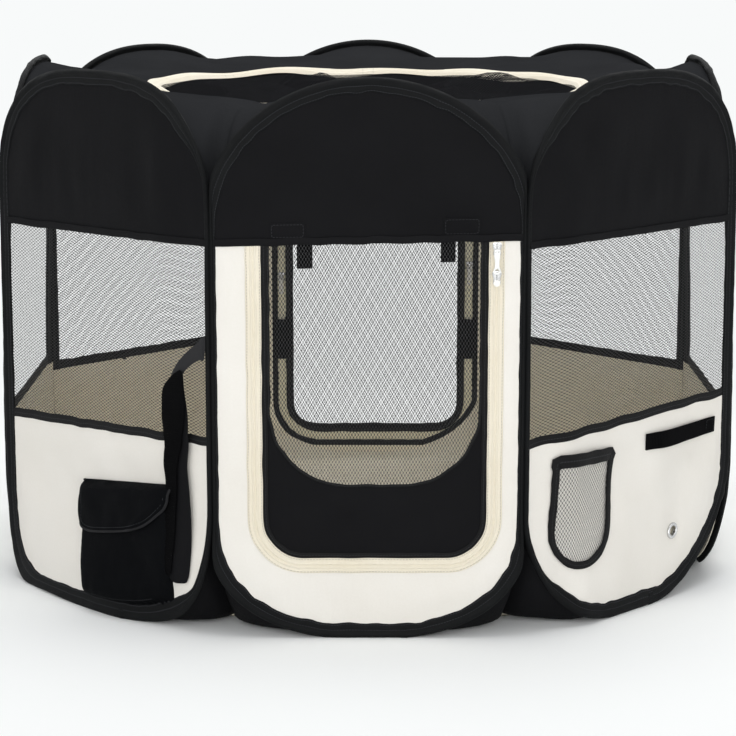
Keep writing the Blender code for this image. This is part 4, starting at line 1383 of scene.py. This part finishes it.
def make_pocket():
    """The puffed pocket with its flap, on the front left panel."""
    skirt_at = lies_on("front_left_skirt")
    left, right, low, high, tilt = -0.0215, 0.122, 0.0187, 0.134, 0.075
    foot_tilt = 0.08
    sag = waves(700, 0.03, 0.09)
    fine = waves(701, 0.012, 0.03)

    def band_top(x):
        return foot_height(x) + 0.0178

    def tilted(points):
        return [
            (x, z + (x - left) * (tilt + foot_tilt * (high - z) / (high - low))) for x, z in points
        ]

    def untilted(x, z):
        share = foot_tilt * (x - left) / (high - low)
        return (z - tilt * (x - left) - share * high) / (1 - share)

    def rise(x, z):
        form = rounded_rise(x - left, 0.012) * rounded_rise(right - x, 0.012)
        form *= rounded_rise(z - band_top(x), 0.014)
        z = untilted(x, z)
        form *= rounded_rise(high - z, 0.006)
        return form * (0.0115 + 0.0006 * sag(x, z) + 0.0002 * fine(x, z))

    upper = tilted(rounded_box(left, right, low, high, foot=0.005, top=0.003))
    foot = [(x, float(band_top(x)) - 0.006) for x in np.linspace(right, left, 12)]
    flat, faces, _ = triangles([*upper[:9], *foot, *upper[-9:]], 0.004)
    base = skirt_at(flat[:, 0], flat[:, 1])
    front = base - 0.0006 - rise(flat[:, 0], flat[:, 1])
    two_faced(
        "pocket_bag", FRONT_LEFT, flat, faces, front, base - 0.0001, "pocket cloth", stands_for=("pocket",),
    )
    line = [(x, float(band_top(x)) + 0.0035) for x in np.linspace(left + 0.010, right - 0.026, 12)]
    stitching("pocket_foot_stitches", FRONT_LEFT, line, lambda x, z: skirt_at(x, z) - 0.0008 - rise(x, z))

    flap_low, flap_high, bend, middle = 0.0850, 0.1370, 0.022, (left + right) / 2
    edge = curve(tilted([
        (left + 0.001, flap_high + 0.003), (left + 0.004, 0.129), (left + 0.0010, 0.118),
        (left + 0.0005, 0.106), (left + 0.006, 0.0945), (left + 0.018, 0.0885),
        (left + 0.036, flap_low + 0.0015), (middle, flap_low + 0.0010), (right - 0.046, flap_low + 0.0035),
        (right - 0.024, 0.0950), (right - 0.008, 0.106), (right, 0.118), (right + 0.001, flap_high),
    ]), 0.003, closed=False)
    swell = waves(702, 0.025, 0.08)

    def flap_front(x, z):
        level = untilted(x, z)
        free = smooth(flap_high - level, 0.0, bend)
        crease = np.exp(-(((x - right + 0.030) * 0.62 + (level - 0.103) * -0.78) / 0.0035) ** 2)
        lift = 0.0016 + free * (0.0024 + 0.0005 * swell(x, z) + 0.0018 * crease * smooth(x, 0.05, 0.08))
        held = np.clip(x, left + 0.004, right - 0.004)
        bag = rise(held, np.minimum(z, high - 0.0035 + tilt * (held - left)))
        return skirt_at(x, z) - 0.0006 - bag * smooth(flap_high + 0.001 - level, 0, 0.006) - lift

    bend_line = tilted([(middle, flap_high + 0.002), (middle + 0.003, flap_high - 0.018)])
    ends = in_world(FRONT_LEFT, [(x, -0.006, z) for x, z in bend_line])
    bending = ("front_left_panel", "pocket_flap", tuple(ends[0]), tuple(ends[1]))
    flat, faces, _ = triangles(edge, 0.0035)
    front = flap_front(flat[:, 0], flat[:, 1])
    two_faced(
        "pocket_flap_cloth", FRONT_LEFT, flat, faces, front, front + 0.0014, "pocket cloth", bending,
        ("pocket_flap",),
    )
    x, z = edge.T
    route = np.column_stack([x, flap_front(x, z) + 0.0005, z])
    tube("pocket_flap_piping", FRONT_LEFT, route, 0.0013, "piping", bending)
    seam = with_normals(edge[4:-4], closed=False)
    inner = moved(seam, 0.004 * np.sign(seam[len(seam) // 2, 3]))
    stitching("pocket_flap_stitches", FRONT_LEFT, inner, lambda x, z: flap_front(x, z) - 0.0001, bending)


def make_closing_strap():
    """The doubled strap that hangs from the seam between the front left and front panels."""
    skirt_at = lies_on("front_left_skirt")
    link = (
        (0.1655, 0.313), (0.155, 0.306), (0.142, 0.296), (0.131, 0.283), (0.124, 0.267), (0.127, 0.261),
        (0.134, 0.266), (0.142, 0.277), (0.151, 0.284), (0.160, 0.288), (0.1655, 0.289),
    )
    wide = (
        (0.124, 0.262), (0.136, 0.275), (0.139, 0.252), (0.142, 0.226), (0.1425, 0.200), (0.143, 0.150),
        (0.146, 0.112), (0.147, 0.088), (0.145, 0.072), (0.139, 0.065), (0.122, 0.061), (0.118, 0.084),
        (0.119, 0.150), (0.120, 0.210),
    )
    narrow = (
        (0.125, 0.266), (0.1165, 0.252), (0.1155, 0.225), (0.118, 0.202), (0.118, 0.151), (0.1155, 0.102),
        (0.117, 0.074), (0.122, 0.065), (0.127, 0.072), (0.129, 0.106), (0.131, 0.150), (0.135, 0.185),
        (0.139, 0.212), (0.141, 0.235), (0.140, 0.258), (0.138, 0.275), (0.131, 0.272),
    )
    bow = waves(710, 0.05, 0.14)

    def level(lift):
        def at(x, z):
            over = np.where(z > TAPE_HEIGHT, -0.0012, skirt_at(x, np.minimum(z, TAPE_HEIGHT - 0.004)))
            gap = 0.0016 + 0.0035 * smooth(z, 0.06, 0.16) * smooth(0.312 - z, 0.0, 0.05)
            return over - lift - gap - 0.0008 * bow(x, z)
        return at

    for name, points, lift, finish in (
        ("closing_strap_link", link, 0.0010, "strap light"),
        ("closing_strap_back_layer", wide, 0.0008, "black cloth"),
        ("closing_strap_front_layer", narrow, 0.0040, "webbing"),
    ):
        outline = curve(points, 0.003)
        made = plate(
            name, FRONT_LEFT, outline, level(lift), 0.0018, finish, stands_for=("closing_strap",),
            cell=0.004, edge=0.0009,
        )
        declare(made, outline, held="hung")
    stitching("closing_strap_stitches", FRONT_LEFT, [(0.1635, 0.310), (0.1635, 0.292)], level(0.0020))


def make_pouch():
    """The net pouch with its bound rim on the front right panel."""
    skirt_at = lies_on("front_right_skirt")
    left, right, low, high, slant = -0.1330, -0.0430, 0.0640, 0.1865, -0.07
    puff = waves(720, 0.04, 0.1)

    def slanted(points):
        return [(x + 0.085 * (z - high), z + slant * (x - (left + right) / 2)) for x, z in points]

    def bulge(x, z):
        form = smooth(x - left, 0.0, 0.03) * smooth(right - x, 0.0, 0.03) * smooth(z - low, 0.0, 0.03)
        return form * (0.0032 + 0.0010 * puff(x, z) + 0.0010 * smooth(z, 0.12, high))

    outline = slanted(rounded_box(left + 0.002, right - 0.002, low + 0.002, high - 0.002, 0.038, 0.003))
    flat, faces, _ = triangles(outline, 0.005)
    depths = skirt_at(flat[:, 0], flat[:, 1]) - 0.0012 - bulge(flat[:, 0], flat[:, 1])
    sheet = in_world(FRONT_RIGHT, np.stack([flat[:, 0], depths, flat[:, 1]], -1))
    made = make("pouch_net", FRONT_RIGHT, sheet, faces, flat[faces], "net", stands_for=("pouch",))
    declare(made, outline)
    middle = slanted(rounded_box(left + 0.0042, right - 0.0042, low + 0.0042, high - 0.0046, 0.036, 0.002))
    ripple = waves(721, 0.012, 0.04)

    def wobble(run, offset, depth, line):
        x, z = line[:, None, 0], line[:, None, 1]
        base = skirt_at(x, z) - 0.0016 - bulge(x, z)
        over = z - slant * (x - (left + right) / 2)
        wide = 0.92 + 0.10 * ripple(run, 0) + 0.80 * smooth(over, high - 0.012, high - 0.007)
        return offset * wide, depth + base + 0.0002 * ripple(run, offset * 3)

    sweep(
        "pouch_binding", FRONT_RIGHT, with_normals(even(middle, 0.004)), flat_section(0.0044, 0.0020),
        "trim", stands_for=("pouch",), closed=True, wobble=wobble,
    )


def make_bottle_strap():
    skirt_at = lies_on("front_right_skirt")
    left, right, middle, half, drop = 0.0125, 0.1375, 0.1770, 0.0095, 0.0024
    bow = waves(730, 0.05, 0.12)

    def surface(x, z):
        loose = smooth(x - left, 0.004, 0.03) * smooth(right - x, 0.012, 0.04)
        return skirt_at(x, z) - 0.0016 - loose * (0.0022 + 0.0008 * bow(x, z))

    def wobble(run, offset, depth, line):
        return offset * (1 + 0.03 * bow(run, 0)), depth + surface(line[:, None, 0], line[:, None, 1])

    line = strip_line((left, middle + drop), (right, middle - drop), 0.005)
    made = sweep(
        "bottle_strap_tape", FRONT_RIGHT, line, flat_section(half, 0.0018), "webbing",
        stands_for=("bottle_strap",), wobble=wobble,
    )
    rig.sheet(made, flat=(right - left, 2 * half), held="stretched")
    box = [
        (right - 0.016, middle + 0.0053), (right - 0.003, middle + 0.0050),
        (right - 0.003, middle - 0.0094), (right - 0.016, middle - 0.0091), (right - 0.016, middle + 0.0053),
    ]
    stitching("bottle_strap_stitches", FRONT_RIGHT, box, lambda x, z: surface(x, z) - 0.0010)


def make_grommet():
    section = [
        (-side * 0.0017 * math.cos(angle), side * (0.0012 + 0.0011 * math.sin(angle)) - 0.0008)
        for side in (-1, 1) for angle in np.linspace(0, math.pi, 9)
    ]
    line = with_normals(circle(*GROMMET, 0.0068, 48))
    sweep("grommet_ring", FRONT_RIGHT, line, section, "metal", stands_for=("grommet",), closed=True)


def slider(name, number, x, low, high, depth, body, node, side=-1):
    """A waisted plate with a bridge for its pull, side -1 facing out."""
    outline = mirrored(x, [
        (0.0026, high), (0.0044, high - 0.0016), (0.0045, high - 0.0045), (0.0034, high - 0.0080),
        (0.0037, low + 0.0025), (0.0030, low + 0.0003),
    ], 0.0009)
    plate(f"{name}_plate", number, outline, depth, 0.0012, "metal", body, (node,), cell=0.0011)
    middle = (low + high) / 2 + 0.001
    route = [
        (x, depth + side * reach, middle + along)
        for reach, along in ((0.0, 0.0042), (0.0008, 0.0040), (0.0014, 0.0028), (0.0015, 0.0),
                             (0.0013, -0.0026), (0.0007, -0.0038), (0.0, -0.0040))
    ]
    tube(f"{name}_bridge", number, curve(route, 0.0006, False), 0.0007, "metal", body)


def make_sliders():
    x = ZIP_NARROW
    slider("upper_slider", 0, x, 0.4000, 0.4135, -0.0041, "front_slider_upper", "front_slider_upper")
    slider("lower_slider", 0, x, 0.3705, 0.3850, -0.0041, "front_slider_lower", "front_slider_lower")
    disc = circle(x, 0.3722, 0.0034, 20)
    plate("lower_slider_disc", 0, disc, -0.0055, 0.0010, "pale enamel", "front_slider_lower", cell=0.001)
    top, low = 0.4062, 0.3812
    outline = mirrored(x, [
        (0.0022, top), (0.0031, top - 0.0022), (0.0030, top - 0.0075), (0.0023, top - 0.0120),
        (0.0025, low + 0.0072), (0.0036, low + 0.0042), (0.0028, low + 0.0012), (0.0, low),
    ], 0.0008)
    holes = [
        circle(x, low + 0.0036, 0.0018, 16), circle(x - 0.0013, top - 0.0024, 0.0006, 10),
        circle(x + 0.0013, top - 0.0024, 0.0006, 10),
    ]
    plate(
        "front_pull_tag", 0, outline, -0.0062, 0.0010, "pale metal", "front_pull", ("front_pull",), holes,
        cell=0.0009,
    )


def make_back_details():
    """The slider and pull inside the back zip, a second pull, and the patches over the zip."""
    right, left = -BACK_ZIP_FAR, BACK_ZIP_NEAR
    slider("back_slider", BACK, right, 0.262, 0.276, 0.0024, "back_slider", "back_slider", side=1)
    for name, x, top, body in (
        ("back_pull_tag", right, 0.2650, "back_slider"), ("back_second_pull_tag", left, 0.2520, "_panel"),
    ):
        outline = mirrored(x, [
            (0.0020, top), (0.0028, top - 0.006), (0.0032, top - 0.014), (0.0024, top - 0.020),
            (0.0, top - 0.021),
        ], 0.0009)
        holes = [circle(x, top - 0.0165, 0.0014, 14)]
        plate(name, BACK, outline, 0.0038, 0.0010, "pale enamel", body, holes=holes, cell=0.001)
    slider("back_second_slider", BACK, left, 0.248, 0.261, 0.0024, "_panel", "back_zip", side=1)
    for name, middle in (("_right_patch", right), ("_left_patch", left)):
        outline = rounded_box(middle - 0.0135, middle + 0.0135, 0.140, 0.196, 0.0012, 0.0012, 3)

        def bridge(x, z, middle=middle):
            return 0.0020 + 0.0042 * (1 - smooth(np.abs(x - middle), 0.0050, 0.0100))

        declare(plate(name, BACK, outline, bridge, 0.0010, "hook", cell=0.003), outline)


def make_front_tabs():
    """The tie tabs inside the front door's top edge and the sewn patches above them."""
    def hang(x, z):
        return 0.0032 + 0.0006 * np.sin((z - 0.38) * 180)

    for name, left, right, low in (
        ("_left_tie_tab", -0.0720, -0.0560, 0.3890), ("_right_tie_tab", 0.0735, 0.0885, 0.3930),
    ):
        outline = rounded_box(left, right, low, hem_height(0) - 0.001, 0.0012, 0.0006, 3)
        made = plate(name, 0, outline, hang, 0.0012, "webbing", "_door", cell=0.003, edge=0.0006)
        declare(made, outline, held="hung")
    cloth_at = lies_on("front_arch_cloth")
    for name, left, right, low, high in (
        ("_left_patch", -0.0990, -0.0630, 0.4200, 0.4365), ("_right_patch", 0.0760, 0.1135, 0.4205, 0.4390),
    ):
        outline = rounded_box(left, right, low, high, 0.0015, 0.0015, 3)
        made = plate(
            name, 0, outline, lambda x, z: cloth_at(x, z) - 0.0004, 0.0008, "black cloth", cell=0.003,
            edge=0.0006,
        )
        declare(made, outline)
        inner = rounded_box(left + 0.002, right - 0.002, low + 0.002, high - 0.002, 0.0005, 0.0005, 2)
        stitching(f"{name}_stitches", 0, [*inner, inner[0]], lambda x, z: cloth_at(x, z) - 0.0010)


def band_joint(number, near):
    """The place where a band's ends overlap, at its foot."""
    spot = int(np.argmin(np.hypot(LOOP[:, 0] - near, LOOP[:, 1])))
    start, end = LOOP[spot], LOOP[(spot + 1) % len(LOOP)]
    line = [start + (end - start) * share for share in np.linspace(0, 1.1, 5)]
    section = [(offset * 1.04 - 0.0004, depth * 1.18) for offset, depth in band_section()]
    sweep("_band_joint", number, line, section, "band")


make_pocket()
make_closing_strap()
make_pouch()
make_bottle_strap()
make_grommet()
make_sliders()
make_back_details()
make_front_tabs()
for joint_number, joint_x in ((0, 0.033), (7, 0.036), (1, 0.02), (6, -0.03), (2, 0.03)):
    band_joint(joint_number, joint_x)

# How flat the panels that bulge or lean are pressed between the others as the pen folds
PRESSED = {"left": 0.2, "right": 0.2, "front_right": 0.25, "back_left": 0.3, "back_right": 0.3}
for panel_number, panel_name in enumerate(PANELS):
    for pressed_piece in riders[f"{panel_name}_panel"] if panel_name in PRESSED else ():
        if "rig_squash" not in pressed_piece:
            fold_flat(pressed_piece, panel_number, PRESSED[panel_name], 0.0)


# ---- Stage, light and camera


def world_light():
    world = bpy.data.worlds.new("studio")
    bpy.context.scene.world = world
    tree = Tree(world)
    background = tree.nodes["Background"]
    path = tree.nodes.new("ShaderNodeLightPath")
    seen = tree.math("MAXIMUM", path.outputs["Is Camera Ray"], path.outputs["Is Glossy Ray"])
    seen = tree.math("MAXIMUM", seen, path.outputs["Is Transmission Ray"])
    tree.put(background.inputs["Color"], tree.mix(seen, (1, 1, 1, 1), srgb(248, 250, 250)))
    tree.put(background.inputs["Strength"], tree.ramp(seen, 0.50, 1.0))


def lamp(name, place, size, power, target=(0, 0, 0.3)):
    data = bpy.data.lights.new(name, "AREA")
    data.shape = "DISK"
    data.size = size
    data.energy = power
    made = bpy.data.objects.new(name, data)
    made.location = place
    made.rotation_euler = (Vector(target) - Vector(place)).to_track_quat("-Z", "Y").to_euler()
    bpy.context.scene.collection.objects.link(made)


def floor():
    material = bpy.data.materials.new("pale_floor")
    tree = Tree(material)
    path = tree.nodes.new("ShaderNodeLightPath")
    place = tree.add("ShaderNodeTexCoord", output="Object")
    away = tree.add("ShaderNodeVectorMath", {0: place}, output="Value", operation="LENGTH")
    far = tree.ramp(away, 0.0, 1.0, 0.42, 0.95)
    seen = tree.math("MULTIPLY", path.outputs["Is Camera Ray"], far)
    tree.shade({"Base Color": srgb(250, 252, 252), "Roughness": 0.9, "Specular IOR Level": 0.0})
    glow = tree.add("ShaderNodeEmission", {"Color": srgb(248, 250, 250), "Strength": 1.0})
    mixed = tree.add("ShaderNodeMixShader", {0: seen, 1: tree.shader.outputs[0], 2: glow})
    tree.put(tree.nodes["Material Output"].inputs["Surface"], mixed)
    mesh = bpy.data.meshes.new("floor_stage")
    rim = [(x, y, 0) for x, y in circle(0, 0, 40, 96)]
    mesh.from_pydata(rim, [], [range(len(rim))])
    mesh.materials.append(material)
    made = bpy.data.objects.new("floor_stage", mesh)
    bpy.context.scene.collection.objects.link(made)
    made.location.z = -0.0002
    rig.stage(made)


def camera():
    data = bpy.data.cameras.new("camera")
    data.lens = 2191 * 36 / 736
    data.sensor_width = 36
    data.shift_y = 20 / 736
    data.clip_end = 200
    made = bpy.data.objects.new("camera", data)
    made.location = (0, -2.6, 0.7156)
    made.rotation_euler = (math.radians(90 - 11.61), 0, 0)
    bpy.context.scene.collection.objects.link(made)
    bpy.context.scene.camera = made


world_light()
lamp("key", (-1.5, -2.8, 1.8), 2.4, 17.5)
lamp("fill", (1.9, -2.7, 1.3), 2.4, 17)
lamp("front", (-0.1, -3.4, 0.95), 1.8, 20.5)
lamp("top", (0.0, -0.1, 3.1), 2.6, 39)
lamp("back", (0.4, 2.0, 2.4), 2.4, 29)
floor()
camera()
bpy.context.scene.view_settings.view_transform = "Standard"

with open("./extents.json", "w") as note:
    json.dump({"cad": [list(map(float, corner)) for corner in cad_box],
               "visual": [list(map(float, corner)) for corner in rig.bounds()]}, note)
